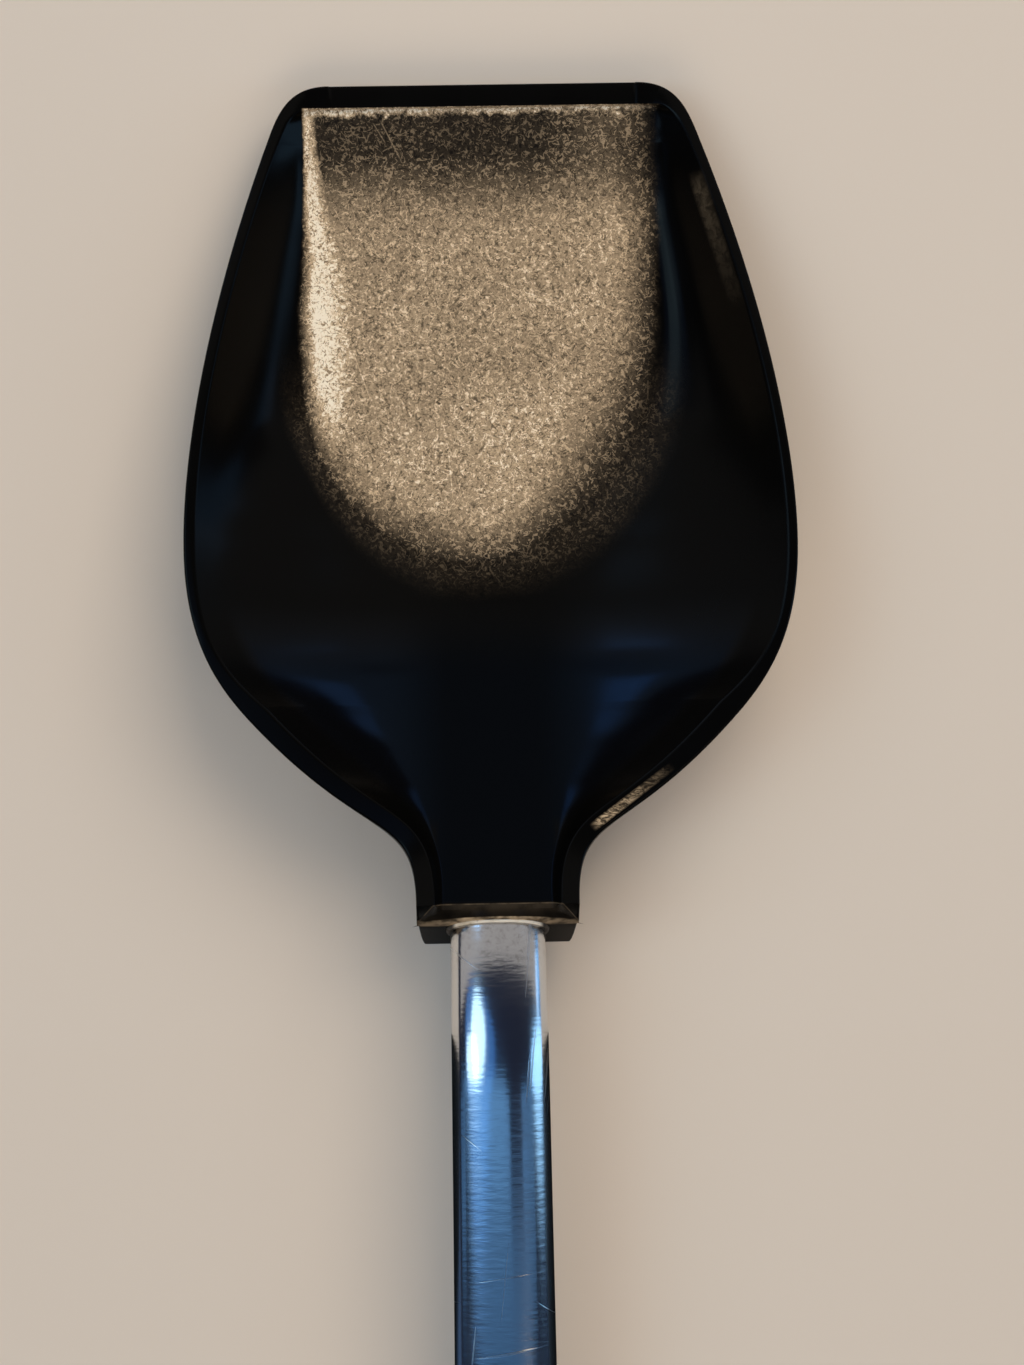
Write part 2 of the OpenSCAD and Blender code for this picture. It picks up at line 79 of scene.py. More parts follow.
class Tone(Enum):
    """Linear colours of the finishes."""

    SOOT = (0.0018, 0.0017, 0.0015, 1.0)
    # Chalky wear, and also the painted glare on the worn floor.
    CHALK_AND_GLARE = (0.81, 0.60, 0.378, 1.0)
    GLINT = (0.97, 0.86, 0.68, 1.0)
    CLEAR = (1.0, 1.0, 1.0, 1.0)
    # A painted blue tint on what the back walls mirror.
    BLUE_REFLECTION_TINT = (0.25, 0.52, 1.0, 1.0)
    DUSK = (0.05, 0.10, 0.21, 1.0)
    STEEL = (0.70, 0.71, 0.72, 1.0)
    CLOUDED = (0.62, 0.625, 0.63, 1.0)
    STAINED = (0.34, 0.32, 0.30, 1.0)
    GROUND = (0.56, 0.56, 0.57, 1.0)
    TARNISH = (0.30, 0.28, 0.25, 1.0)
    CREAM = (1.0, 0.89, 0.73, 1.0)
    YELLOWED = (0.66, 0.52, 0.34, 1.0)
    # Dirt in the sealant's low spots, and painted shade at its ends.
    GRIME_AND_SHADE = (0.05, 0.04, 0.03, 1.0)
    CLOTH = (0.69, 0.61, 0.525, 1.0)
    DIM_ROOM = (0.014, 0.018, 0.035, 1.0)


def clamp(share: float) -> float:
    """A share kept between 0 and 1."""
    return min(max(share, 0.0), 1.0)


def mix(a: float, b: float, share: float) -> float:
    """The value that lies at share of the way from a to b."""
    return a + (b - a) * share


def ease(share: float) -> float:
    """A smooth step from 0 to 1."""
    u = clamp(share)
    return u * u * (3.0 - 2.0 * u)


def knee(u: np.ndarray, r: float) -> np.ndarray:
    """Zero up to -r, a parabola from -r to r, and the straight line u after that."""
    return np.where(u <= -r, 0.0, np.where(u >= r, u, (u + r) ** 2 / (4.0 * r)))


def smooth_max(a: np.ndarray, b: np.ndarray, r: float) -> np.ndarray:
    """The larger of a and b, blended over about r."""
    return (a + b + np.sqrt((a - b) ** 2 + r * r)) / 2.0


def bezier(points: list[Pair], t: float) -> np.ndarray:
    """The point at t on a cubic curve with four control points."""
    p, u = np.array(points), 1.0 - t
    return u**3 * p[0] + 3 * u * u * t * p[1] + 3 * u * t * t * p[2] + t**3 * p[3]


def bezier_slope(points: list[Pair], t: float) -> np.ndarray:
    """The direction of a cubic curve at t."""
    p, u = np.array(points), 1.0 - t
    return u * u * (p[1] - p[0]) + 2 * u * t * (p[2] - p[1]) + t * t * (p[3] - p[2])


def lookup(place: float, table: tuple[Pair, ...]) -> float:
    """The value at a place in a table of pairs, on a smooth curve that never leaves its rows' range."""
    xs, ys = (np.array(column, dtype=float) for column in zip(*table))
    gaps, rises = np.diff(xs), np.diff(ys)
    slopes = rises / gaps
    bends = np.concatenate([slopes[:1], np.zeros(len(xs) - 2), slopes[-1:]])
    for i in range(1, len(xs) - 1):
        if slopes[i - 1] * slopes[i] > 0.0:
            bends[i] = 2.0 / (1.0 / slopes[i - 1] + 1.0 / slopes[i])
    k = int(np.clip(np.searchsorted(xs, place, side="right") - 1, 0, len(xs) - 2))
    t = (place - xs[k]) / gaps[k]
    risen = t * t * (3.0 - 2.0 * t) * rises[k]
    return float(ys[k] + risen + gaps[k] * (t * (1.0 - t) ** 2 * bends[k] - t * t * (1.0 - t) * bends[k + 1]))


def oval_points(half: Pair, power: float, count: int) -> list[np.ndarray]:
    """The two coordinates of the points of an oval; power 2 is an ellipse, and more is squarer."""
    turn = np.linspace(0.0, 2.0 * math.pi, count, endpoint=False)
    return [h * np.sign(v) * np.abs(v) ** (2.0 / power) for h, v in zip(half, (np.cos(turn), np.sin(turn)))]


def configured(thing: Thing, **settings: object) -> Thing:
    """Sets properties of a new thing and hands it back."""
    for name, value in settings.items():
        setattr(thing, name, value)
    return thing


def linked(name: str, data: bpy.types.ID, **settings: object) -> bpy.types.Object:
    """Makes an object of the scene from its data and its properties."""
    made = bpy.data.objects.new(name, data)
    bpy.context.collection.objects.link(made)
    return configured(made, **settings)


def new_mesh_object(name: str, points: np.ndarray, faces: Faces) -> bpy.types.Object:
    """Makes a mesh object at the origin.

    Args:
        name: The object's name.
        points: The points in the row frame, in millimetres.
        faces: The faces as tuples of point numbers.

    Returns:
        The linked object.
    """
    mesh = bpy.data.meshes.new(name)
    mesh.from_pydata((np.asarray(points) * MM).tolist(), [], faces)
    mesh.validate()
    return linked(name, mesh)


def loft(rings: list[np.ndarray]) -> tuple[np.ndarray, Faces]:
    """Quads between closed rings of the same number of points, with a face over each end.

    Args:
        rings: The rings, each an array of points.

    Returns:
        The points and the faces.
    """
    n = len(rings[0])
    last = (len(rings) - 1) * n
    faces: Faces = []
    for a in range(0, last, n):
        faces += [(a + i, a + (i + 1) % n, a + n + (i + 1) % n, a + n + i) for i in range(n)]
    return np.concatenate(rings), faces + [tuple(range(n - 1, -1, -1)), tuple(range(last, last + n))]


def modify(made: bpy.types.Object, kind: str, **settings: object) -> bpy.types.Modifier:
    """Adds a modifier to a piece and sets its properties."""
    return configured(made.modifiers.new(kind.lower(), kind), **settings)


def apply_modifiers(made: bpy.types.Object) -> None:
    """Turns an object's evaluated mesh into its own mesh and drops its modifiers."""
    graph = bpy.context.evaluated_depsgraph_get()
    graph.update()
    old = made.data
    made.data = bpy.data.meshes.new_from_object(made.evaluated_get(graph))
    made.data.name = made.name
    made.modifiers.clear()
    bpy.data.meshes.remove(old)


def cut_with(made: bpy.types.Object, *cutters: bpy.types.Object) -> None:
    """Cuts closed solids out of a piece and removes them from the scene."""
    for cutter in cutters:
        modify(made, "BOOLEAN", operation="DIFFERENCE", solver="EXACT", object=cutter)
    apply_modifiers(made)
    for cutter in cutters:
        bpy.data.objects.remove(cutter)


def smooth_shade(made: bpy.types.Object, crease_deg: float) -> None:
    """Shades a piece smooth, except where its faces meet at more than an angle."""
    made.data.shade_smooth()
    made.data.set_sharp_from_angle(angle=math.radians(crease_deg))


def dress(made: bpy.types.Object, finish: bpy.types.Material) -> None:
    """Gives a piece one finish all over."""
    made.data.materials.clear()
    made.data.materials.append(finish)


def outward(made: bpy.types.Object) -> None:
    """Merges doubles and turns every face outwards."""
    work = bmesh.new()
    work.from_mesh(made.data)
    bmesh.ops.remove_doubles(work, verts=work.verts, dist=1e-7)
    bmesh.ops.recalc_face_normals(work, faces=work.faces)
    work.to_mesh(made.data)
    work.free()


def revolved(name: str, profile: list[Pair], place: Matrix, sides: int = 64) -> bpy.types.Object:
    """A closed solid turned round its own axis.

    Args:
        name: The object's name.
        profile: Pairs of radius and height in millimetres, from one end of the axis to the other.
        place: Where the solid goes; its axis is the matrix's Z.
        sides: How many sides it has.

    Returns:
        The solid, with its place in its mesh.
    """
    angles = [2 * math.pi * i / sides for i in range(sides)]
    rings = [np.array([(r * math.cos(a), r * math.sin(a), h) for a in angles]) for r, h in profile]
    points, faces = loft(rings)
    made = new_mesh_object(name, np.array([place @ Vector(p) for p in points]), faces)
    outward(made)
    return made


def cross_axis(y: float, z: float) -> Matrix:
    """A frame at x = 0 whose Z points along the part's X."""
    return Matrix.Translation((0.0, y, z)) @ Matrix.Rotation(QUARTER, 4, "Y")


def cross_hole(d: float, width: float, place: Pair) -> bpy.types.Object:
    """The solid of a pin's hole through a piece of a width, at the pin's y and z."""
    reach = width / 2.0 + HOLE_EXTRA
    return revolved("pin_hole", [(d / 2.0, -reach), (d / 2.0, reach)], cross_axis(*place))


def operation(what: str) -> Callable[..., "Term"]:
    """A method that makes a Math node on its term and the other values it is given."""
    return lambda term, *others: term.apply(what, *others)


class Term:
    """A value in a node tree that takes part in sums as a plain number does."""

    def __init__(self, nodes: "Nodes", socket: object) -> None:
        """Wraps an output socket or a plain value."""
        self.nodes = nodes
        self.socket = socket

    def apply(self, what: str, *others: object) -> "Term":
        """A Math node on this term and others."""
        return self.nodes.math(what, self, *others)

    __add__ = operation("ADD")
    __sub__ = operation("SUBTRACT")
    __mul__ = operation("MULTIPLY")
    __truediv__ = operation("DIVIDE")
    __pow__ = operation("POWER")
    __abs__ = operation("ABSOLUTE")
    at_least = operation("MAXIMUM")
    at_most = operation("MINIMUM")

    def __rsub__(self, other: object) -> "Term":
        """A plain number less this term."""
        return self.nodes.math("SUBTRACT", other, self)

    def clamped(self) -> "Term":
        """The term kept between 0 and 1."""
        return self.at_least(0.0).at_most(1.0)

    def toward(self, end: object, share: object) -> "Term":
        """The value at share of the way from this term to end."""
        return self + (self.nodes.term(end) - self) * share

    def fade(self, start: float, end: float, low: float = 0.0, high: float = 1.0) -> "Term":
        """Maps the term from start..end to low..high with soft ends."""
        limits = {"Value": self, "From Min": start, "From Max": end, "To Min": low, "To Max": high}
        made = self.nodes.node("ShaderNodeMapRange", limits, interpolation_type="SMOOTHSTEP")
        return Term(self.nodes, made.outputs["Result"])


class Nodes:
    """A node tree that is built from terms."""

    def __init__(self, tree: bpy.types.NodeTree) -> None:
        """Takes the tree."""
        self.tree = tree

    def node(self, kind: str, inputs: Inputs | None = None, **settings: object) -> bpy.types.Node:
        """Adds a node.

        Args:
            kind: The node's type.
            inputs: Terms, sockets or plain values for its inputs, by their names or numbers.
            settings: Its properties.

        Returns:
            The node.
        """
        made = configured(self.tree.nodes.new(kind), **settings)
        for key, value in (inputs or {}).items():
            self.feed(value, made.inputs[key])
        return made

    def term(self, value: object) -> Term:
        """A term from a term, a socket, a tone or a plain value."""
        if isinstance(value, Term):
            return value
        return Term(self, value.value if isinstance(value, Tone) else value)

    def feed(self, value: object, target: Socket) -> None:
        """Links or writes a value on an input."""
        inner = self.term(value).socket
        if isinstance(inner, Socket):
            self.tree.links.new(inner, target)
        else:
            target.default_value = inner

    def math(self, what: str, *values: object) -> Term:
        """A Math node."""
        return Term(self, self.node("ShaderNodeMath", dict(enumerate(values)), operation=what).outputs[0])

    def split(self, vector: Socket) -> list[Term]:
        """The three parts of a vector."""
        return [Term(self, part) for part in self.node("ShaderNodeSeparateXYZ", {0: vector}).outputs]

    def vector(self, *parts: object) -> Socket:
        """A vector from three terms."""
        return self.node("ShaderNodeCombineXYZ", dict(enumerate(parts))).outputs[0]


class Shader(Nodes):
    """One material's nodes. Places, widths and depths are in millimetres, scales in cells per metre."""

    def __init__(self, name: str) -> None:
        """Starts an empty material with a Principled shader."""
        self.material = configured(bpy.data.materials.new(name), use_nodes=True)
        super().__init__(self.material.node_tree)
        self.tree.nodes.clear()
        self.skin = self.node("ShaderNodeBsdfPrincipled")
        self.node("ShaderNodeOutputMaterial", {"Surface": self.skin.outputs["BSDF"]})
        self.place = self.node("ShaderNodeTexCoord").outputs["Object"]

    @cached_property
    def axes(self) -> list[Term]:
        """The shaded point's three coordinates."""
        return [part / MM for part in self.split(self.place)]

    def set(self, **values: object) -> None:
        """Sets inputs of the Principled shader, with underscores for spaces in their names."""
        for name, value in values.items():
            self.feed(value, self.skin.inputs[name.replace("_", " ")])

    def most(self, *terms: Term) -> Term:
        """The largest of several terms."""
        return reduce(Term.at_least, terms)

    def stretched(self, scale: Row, turn_deg: float = 0.0) -> Socket:
        """Object coordinates scaled along each axis, then turned about Z."""
        values = {"Vector": self.place, "Scale": scale, "Rotation": (0.0, 0.0, math.radians(turn_deg))}
        return self.node("ShaderNodeMapping", values).outputs[0]

    def turned(self, angle: float, centre: Row = (0.0, 0.0, 0.0)) -> Socket:
        """Object coordinates turned about Z, in radians, round a centre in metres."""
        values = {"Vector": self.place, "Center": centre, "Angle": angle}
        return self.node("ShaderNodeVectorRotate", values, rotation_type="Z_AXIS").outputs[0]

    def noise(
        self, scale: float, detail: float = 4.0, rough: float = 0.55, where: Socket | None = None,
        bend: float = 0.0,
    ) -> Term:
        """A noise value about 0.5.

        Args:
            scale: Cells per metre.
            detail: How many finer layers it has.
            rough: How strong the finer layers are.
            where: The coordinates, if they aren't the object's own.
            bend: How far the noise distorts itself.

        Returns:
            The value.
        """
        shape = {"Scale": scale, "Detail": detail, "Roughness": rough, "Distortion": bend}
        made = self.node("ShaderNodeTexNoise", {"Vector": where or self.place, **shape})
        return Term(self, made.outputs["Fac"])

    def cells(self, scale: float) -> Term:
        """The distance to the middle of the nearest cell."""
        made = self.node("ShaderNodeTexVoronoi", {"Vector": self.place, "Scale": scale})
        return Term(self, made.outputs["Distance"])

    def blend(self, share: object, a: object, b: object) -> Term:
        """A colour between a and b."""
        return Term(self, self.node("ShaderNodeMix", {0: share, 6: a, 7: b}, data_type="RGBA").outputs[2])

    def bump(self, height: Term, depth: float, strength: float = 1.0, under: Term | None = None) -> Term:
        """A bumped normal.

        Args:
            height: The surface's height, from 0 to 1.
            depth: What a height of 1 stands for.
            strength: How strongly the bump shows.
            under: The bumped normal that it lies on, if any.

        Returns:
            The normal.
        """
        values = {"Distance": depth * MM, "Strength": strength, "Height": height}
        if under is not None:
            values["Normal"] = under
        return Term(self, self.node("ShaderNodeBump", values).outputs["Normal"])

    def scratches(self, turn_deg: float, per_metre: float, length_ratio: float, keep: float) -> Term:
        """Thin straight scratches in one direction.

        Args:
            turn_deg: The scratches' direction in the XY plane, from X.
            per_metre: How many could lie side by side in a metre.
            length_ratio: How much longer than their spacing they are.
            keep: The height of the noise above which one shows; higher keeps fewer.

        Returns:
            1 on a scratch and 0 elsewhere.
        """
        scale = (1.0 / length_ratio, 1.0, 1.0 / length_ratio)
        turned = self.turned(math.radians(-turn_deg))
        thin = self.node("ShaderNodeMapping", {"Vector": turned, "Scale": scale})
        lines = self.noise(per_metre, *SCRATCH_NOISE, thin.outputs[0], SCRATCH_BEND)
        return lines.fade(keep, keep + SCRATCH_EDGE)

    def stroke(self, mark: Row) -> Term:
        """One straight mark in the XY plane, given by its ends' x and y and its half width.

        Args:
            mark: The first end's x and y, the last end's x and y, and the half width.

        Returns:
            1 on the mark and 0 elsewhere.
        """
        x0, y0, x1, y1, width = (number * MM for number in mark)
        half = math.hypot(x1 - x0, y1 - y0) / 2.0
        centre = ((x0 + x1) / 2.0, (y0 + y1) / 2.0, 0.0)
        x, y, _ = self.split(self.turned(-math.atan2(y1 - y0, x1 - x0), centre))
        along, across = abs(x - centre[0]), abs(y - centre[1])
        return along.fade(half, half * STROKE_SOFT[0]) * across.fade(width, width * STROKE_SOFT[1])


class Rule(Nodes):
    """A Geometry Nodes tree with named inputs."""

    def __init__(self, name: str, lengths: dict[str, float], numbers: dict[str, float]) -> None:
        """Starts a tree.

        Args:
            name: The tree's name.
            lengths: The named inputs that are lengths, in millimetres.
            numbers: The other named inputs.
        """
        super().__init__(bpy.data.node_groups.new(name, "GeometryNodeTree"))
        self.sizes = {**{label: value * MM for label, value in lengths.items()}, **numbers}
        face = self.tree.interface
        face.new_socket("Geometry", in_out="INPUT", socket_type="NodeSocketGeometry")
        self.ids: dict[str, str] = {}
        for label, value in self.sizes.items():
            made = face.new_socket(label, in_out="INPUT", socket_type="NodeSocketFloat")
            made.default_value = value
            self.ids[label] = made.identifier
        face.new_socket("Geometry", in_out="OUTPUT", socket_type="NodeSocketGeometry")
        self.inputs = self.node("NodeGroupInput")
        self.outputs = self.node("NodeGroupOutput")

    def term(self, value: object) -> Term:
        """A term from a term, a socket, a number or an input's name."""
        return super().term(self.inputs.outputs[value] if isinstance(value, str) else value)

    def oval(self, c: Term, n: Term, half: tuple[Term, Term], power: Term) -> list[Term]:
        """A point of a squarish oval from the cosine and sine of its angle."""
        share = self.term(2.0) / power
        return [v.apply("SIGN") * abs(v) ** share * h for v, h in zip((c, n), half)]

    def moved(self, shape: Socket, **places: Socket) -> Socket:
        """A shape with its points set to a Position or moved by an Offset."""
        return self.node("GeometryNodeSetPosition", {"Geometry": shape, **places}).outputs[0]

    def close(self, shape: Socket, finish: bpy.types.Material) -> None:
        """Ends the tree in Realize Instances and Set Material."""
        real = self.node("GeometryNodeRealizeInstances", {0: shape}).outputs[0]
        dressed = self.node("GeometryNodeSetMaterial", {"Geometry": real, "Material": finish})
        self.feed(dressed.outputs[0], self.outputs.inputs[0])

    def grow(self, name: str) -> bpy.types.Object:
        """Runs the tree on an empty mesh and keeps the result as a plain mesh."""
        made = new_mesh_object(name, np.zeros((0, 3)), [])
        shape = modify(made, "NODES", node_group=self.tree)
        for label, identifier in self.ids.items():
            shape[identifier] = self.sizes[label]
        apply_modifiers(made)
        return made


@dataclass(frozen=True)
class MouldedNylon:
    """Black moulded nylon: glossy walls, and a floor worn pale and grainy by use, with painted glare and
    shade on that floor and painted highlights and reflections on the rim, the walls and the ledge.

    Lengths are in millimetres. How pale a place is runs from 0, black, to 1, chalky, from wear and from
    painted light. A field that a fade takes holds where it starts and ends, and then what it goes from
    and to unless that is 0 and 1. A field that a noise takes holds its cells per metre, its detail and
    its roughness.
    """

    name: str = "worn_black_nylon"
    mirror: float = 0.08
    rubbed_mirror: float = 0.27
    gloss: Row = (0.35, 0.7, 0.165, 0.26)
    matt: Row = (0.35, 0.9, 0.4, 0.55)
    floor_t: float = 2.0
    ramp_foot: float = 22.2
    ramp_rise: float = 0.25
    neck_end: float = -68.0
    mouth: Pair = (-71.6, 12.9236)
    tilt: float = math.radians(20.0)
    worn_middle: Pair = (-0.9, 2.0)
    worn_half: Pair = (23.3, 26.5)
    floor_skin: Row = (2.2, 1.2)
    low_zone: Row = (6.0, -10.0)
    patch_noise: Row = (110.0, 5.0, 0.65)
    patch_wander: float = 0.12
    patch_size: float = 1.03
    patch_soft: Row = (-21.0, -8.0, 0.14, 0.3)
    patch_front: Row = (34.75, 34.55)
    low_growth: float = 0.01
    low_soft: float = 0.05
    low_glare: float = 0.11
    haze: Row = (1.22, 0.98, 0.0, 0.022)
    fan_edge: float = -23.2
    fan_noise: Row = (500.0, 4.0, 0.75)
    fan_wander: Row = (33.0, 16.0, 0.3, 1.3)
    fan_soft: Row = (30.0, -4.0, 0.5, 3.6)
    fan_start: Row = (-0.6, 0.4)
    fan_width: Row = (32.0, 6.0, 1.6, 8.5)
    fan_glare: Row = (1.1, 0.05, 0.0, 1.3)
    fan_foot: Row = (-20.0, -1.0)
    ramp_shade: Row = (18.0, 29.5, 0.43, 0.033)
    right_shadow_slant: Pair = (0.85, -0.5)
    right_shadow: Row = (9.0, 19.0, 1.0, 0.18)
    corner: tuple[Pair, Pair] = ((6.0, 17.0), (2.0, 12.0))
    corner_glare: float = 0.09
    front_noise: Row = (900.0, 3.0, 0.6)
    front_wander: float = 2.6
    front_highlight: Row = (33.5, 34.5, 0.0, 0.85)
    cloud_noise: Row = (85.0, 4.0, 0.6)
    clouds: Row = (0.3, 0.7, 0.85, 1.12)
    ledge_half: float = 8.2
    ledge_spread: float = 0.85
    ledge_top: Row = (14.4, 15.2)
    ledge_seam: Row = (-0.1, 0.1)
    ledge_end: Row = (0.15, -0.1)
    flat_noise: Row = (260.0, 4.0, 0.6)
    flat_pale: Row = (0.35, 0.65, 0.012, 0.036)
    flat_fall: Row = (0.2, 1.5, 1.0, 0.35)
    seam_line: Row = (0.2, 0.05)
    seam_noise: Row = (500.0, 3.0)
    seam_pale: Row = (0.35, 0.65, 0.03, 0.14)
    lip_line: Row = (0.24, 0.08)
    lip_noise: Row = (420.0, 3.0)
    lip_pale: Row = (0.34, 0.6, 0.12, 0.75)
    lip_fall: Row = (8.5, 3.0, 0.4, 1.0)
    mouth_shade: Row = (-0.5, -0.1, 1.0, 0.1)
    scuff: Row = (12.0, -58.8, 22.7, -50.9, 0.68)
    fibre_noise: Row = (3.0, 0.7)
    scuff_cells: float = 800.0
    scuff_bend: float = 1.5
    scuff_stretch: Row = (1.0, 2.2, 1.0)
    scuff_turn: float = -37.0
    scuff_fibres: Row = (0.38, 0.62, 0.1, 1.0)
    scuff_pale: Pair = (0.05, 0.75)
    scuff_top: Row = (15.2, 15.6)
    streak: Row = (27.2, 26.0, 32.6, 7.0, 1.1)
    streak_cells: float = 700.0
    streak_bend: float = 0.8
    streak_fibres: Row = (0.35, 0.65, 0.3, 1.0)
    streak_pale: Row = (8.0, 24.0, 0.012, 0.085)
    streak_foot: Row = (5.0, 6.5)
    rubbed_sides: Row = (5.0, 15.0)
    back_start: Row = (-28.0, -40.0)
    back_top: Row = (14.5, 13.0)
    trough_side: Row = (8.5, 7.0)
    trough_end: Row = (-68.1, -67.6)
    grain: float = 0.27
    grain_pale: Row = (0.25, 0.75, 0.62, 1.38)
    grain_depth: float = 0.016
    peel_depth: float = 0.003
    grain_noise: Row = (2.0, 0.7)
    peel_noise: Row = (260.0, 2.0)
    peel_strength: float = 0.5
    gloss_noise: Row = (40.0, 4.0, 0.6)
    hair_rough: float = 0.05
    touched: Row = (0.0, 0.06)
    glints: Row = (0.7, 1.25)
    bright_pale: Pair = (0.34, 0.26)
    dark_pale: float = -0.65
    pit_pale: float = -0.85
    line_pale: float = 0.28
    bright_height: float = 0.5
    dark_height: float = -0.6
    line_height: float = 0.7
    hair_height: float = -0.25
    curl_noise: Row = (1.5, 0.5)
    curl_bend: float = 0.9
    curl_gate: Row = (1.25, 1.0, 0.5)
    curl_soft: float = 0.3
    curl_edge: float = 0.08
    curl_turn: float = 40.0
    bright_curls: tuple[Row, ...] = ((1.15, 0.048, 0.48), (0.7, 0.055, 0.5))
    dark_curls: tuple[Row, ...] = ((1.3, 0.035, 0.45), (0.8, 0.045, 0.48))
    worn_scratches: tuple[Row, ...] = (
        (-58.0, 420.0, 14.0, 0.735), (86.0, 520.0, 16.0, 0.735), (-66.0, 760.0, 22.0, 0.74))
    hair_scratches: Row = (64.0, 2200.0, 60.0, 0.70)
    marks: tuple[Row, ...] = (
        (-13.4, 33.4, -10.7, 28.1, 0.12), (-14.3, 33.0, -12.6, 30.2, 0.08), (21.1, -0.7, 21.0, -3.6, 0.12),
        (-5.2, -9.5, -4.7, -16.0, 0.10), (-8.8, -7.0, -8.4, -12.5, 0.08), (3.4, -12.0, 3.1, -17.0, 0.07),
        (-15.0, 21.0, -8.0, 16.5, 0.06), (2.0, 12.0, 9.0, 9.6, 0.06), (-17.6, 4.0, -15.2, -3.0, 0.09))
    scratch_share: float = 0.6
    pits: Row = (0.14, 0.05)
    pit_cells: float = 480.0
    pit_share: float = 0.6
    nicks: tuple[Row, ...] = (
        (-6.7, -3.2, -6.1, -3.6, 0.22), (-3.6, -3.9, -3.2, -4.5, 0.2), (6.8, 1.9, 7.3, 1.7, 0.14),
        (-11.2, 8.3, -10.8, 8.0, 0.13))

    def above_floor(self, s: Shader) -> Term:
        """How high a place lies over the flat floor and its ramp."""
        _, y, z = s.axes
        return z - (y - self.ramp_foot).at_least(0.0) * self.ramp_rise - self.floor_t

    def reach(self, s: Shader) -> Term:
        """1 on the worn patch's edge, a U that is open towards the front, and less inside it."""
        x = (s.axes[0] - self.worn_middle[0]) / self.worn_half[0]
        y = (s.axes[1] - self.worn_middle[1]).at_most(0.0) / self.worn_half[1]
        return (x * x + y * y).apply("SQRT")

    def curls(self, s: Shader, size: float, width: float, keep: float) -> Term:
        """Short curly marks.

        Args:
            s: The shader.
            size: About how long they are.
            width: How wide they are, as a share of the noise.
            keep: The height of a second noise above which one shows; higher keeps fewer.

        Returns:
            1 on a mark and 0 elsewhere.
        """
        per_curl, detail, rough = self.curl_gate
        ridge = abs(s.noise(1.0 / (size * MM), *self.curl_noise, None, self.curl_bend) - 0.5)
        gate = s.noise(per_curl / (size * MM), detail, rough, s.stretched((1.0, 1.0, 1.0), self.curl_turn))
        return ridge.fade(width, width * self.curl_soft) * gate.fade(keep, keep + self.curl_edge)

    def floor_wear_and_glare(self, s: Shader) -> Term:
        """How pale the floor and its ramp are: the worn patch, with painted glare, highlights and shade over
        it.
        """
        x, y, _ = s.axes
        on_floor = self.above_floor(s).fade(*self.floor_skin)
        low = y.fade(*self.low_zone)
        uneven = (s.noise(*self.patch_noise) - 0.5) * self.patch_wander + self.reach(s)
        softness = low * self.low_soft + x.fade(*self.patch_soft)
        patch = ((low * self.low_growth + self.patch_size - uneven) / softness).fade(0.0, 1.0) * on_floor
        past_edge = x + (s.noise(*self.fan_noise) - 0.5) * y.fade(*self.fan_wander) - self.fan_edge
        patch *= (past_edge / y.fade(*self.fan_soft)).fade(*self.fan_start)
        patch *= y.fade(*self.patch_front)
        # Painted highlight along the left crease: a fan of glare over the worn floor.
        crease_glare = (past_edge / y.fade(*self.fan_width)).fade(*self.fan_glare) * y.fade(*self.fan_foot)
        # Painted glare on the worn floor, a little brighter low down, with painted shade up the ramp.
        level = low * self.low_glare + y.fade(*self.ramp_shade)
        # Painted shadow of the right wall, darkening the floor towards the right.
        level *= (x * self.right_shadow_slant[0] + y * self.right_shadow_slant[1]).fade(*self.right_shadow)
        # Painted highlight on the floor towards the front right.
        level += x.fade(*self.corner[0]) * y.fade(*self.corner[1]) * self.corner_glare
        # Ragged painted highlight along the ramp's front edge; the clouding after it is random tone.
        ragged = (s.noise(*self.front_noise) - 0.5) * self.front_wander + y
        level = level.at_least(ragged.fade(*self.front_highlight)) * s.noise(*self.cloud_noise).fade(*self.clouds)
        haze = uneven.fade(*self.haze) * low * on_floor
        return (patch * level.at_least(crease_glare)).at_least(haze)

    def past_mouth(self, s: Shader) -> Term:
        """How far along the tube a place lies from the plane of the collar's end."""
        _, y, z = s.axes
        return (self.mouth[0] - y) * math.cos(self.tilt) + (z - self.mouth[1]) * math.sin(self.tilt)

    def ledge_wear_and_highlights(self, s: Shader) -> Term:
        """How pale the collar's ledge, its edges and its lip are: wear, with painted highlights on the edges
        and lip and a painted reflection on the face.
        """
        x, y, z = s.axes
        back = self.neck_end - y
        inset = back * self.ledge_spread + self.ledge_half - abs(x)
        inside = inset.fade(*self.ledge_seam) * back.fade(*self.ledge_seam)
        # A faint mottling on the ledge's face, partly wear and partly painted reflection.
        flat = s.noise(*self.flat_noise).fade(*self.flat_pale) * back.fade(*self.flat_fall)
        # A thin pale line along the ledge's edges, partly wear and partly painted highlight.
        seam = abs(inset).at_most(abs(back)).fade(*self.seam_line)
        seam *= s.noise(*self.seam_noise).fade(*self.seam_pale)
        out = self.past_mouth(s)
        ledge = flat.at_least(seam) * inside * out.fade(*self.ledge_end)
        # A thin pale line on the lip, partly wear and partly painted highlight.
        lip = abs(out).fade(*self.lip_line) * s.noise(*self.lip_noise).fade(*self.lip_pale)
        return z.fade(*self.ledge_top) * ledge.at_least(lip * abs(x).fade(*self.lip_fall))

    def scuff_wear_and_highlight(self, s: Shader) -> Term:
        """How pale a stretch of the rim's flat top at the right back is: rubbed wear with a painted
        highlight.
        """
        x, _, z = s.axes
        # Rubbed wear and a painted highlight along the rim.
        where = s.stretched(self.scuff_stretch, self.scuff_turn)
        fibres = s.noise(self.scuff_cells, *self.fibre_noise, where, self.scuff_bend)
        pale = fibres.fade(*self.scuff_fibres) * x.fade(self.scuff[2], self.scuff[0], *self.scuff_pale)
        return s.stroke(self.scuff) * pale * z.fade(*self.scuff_top)

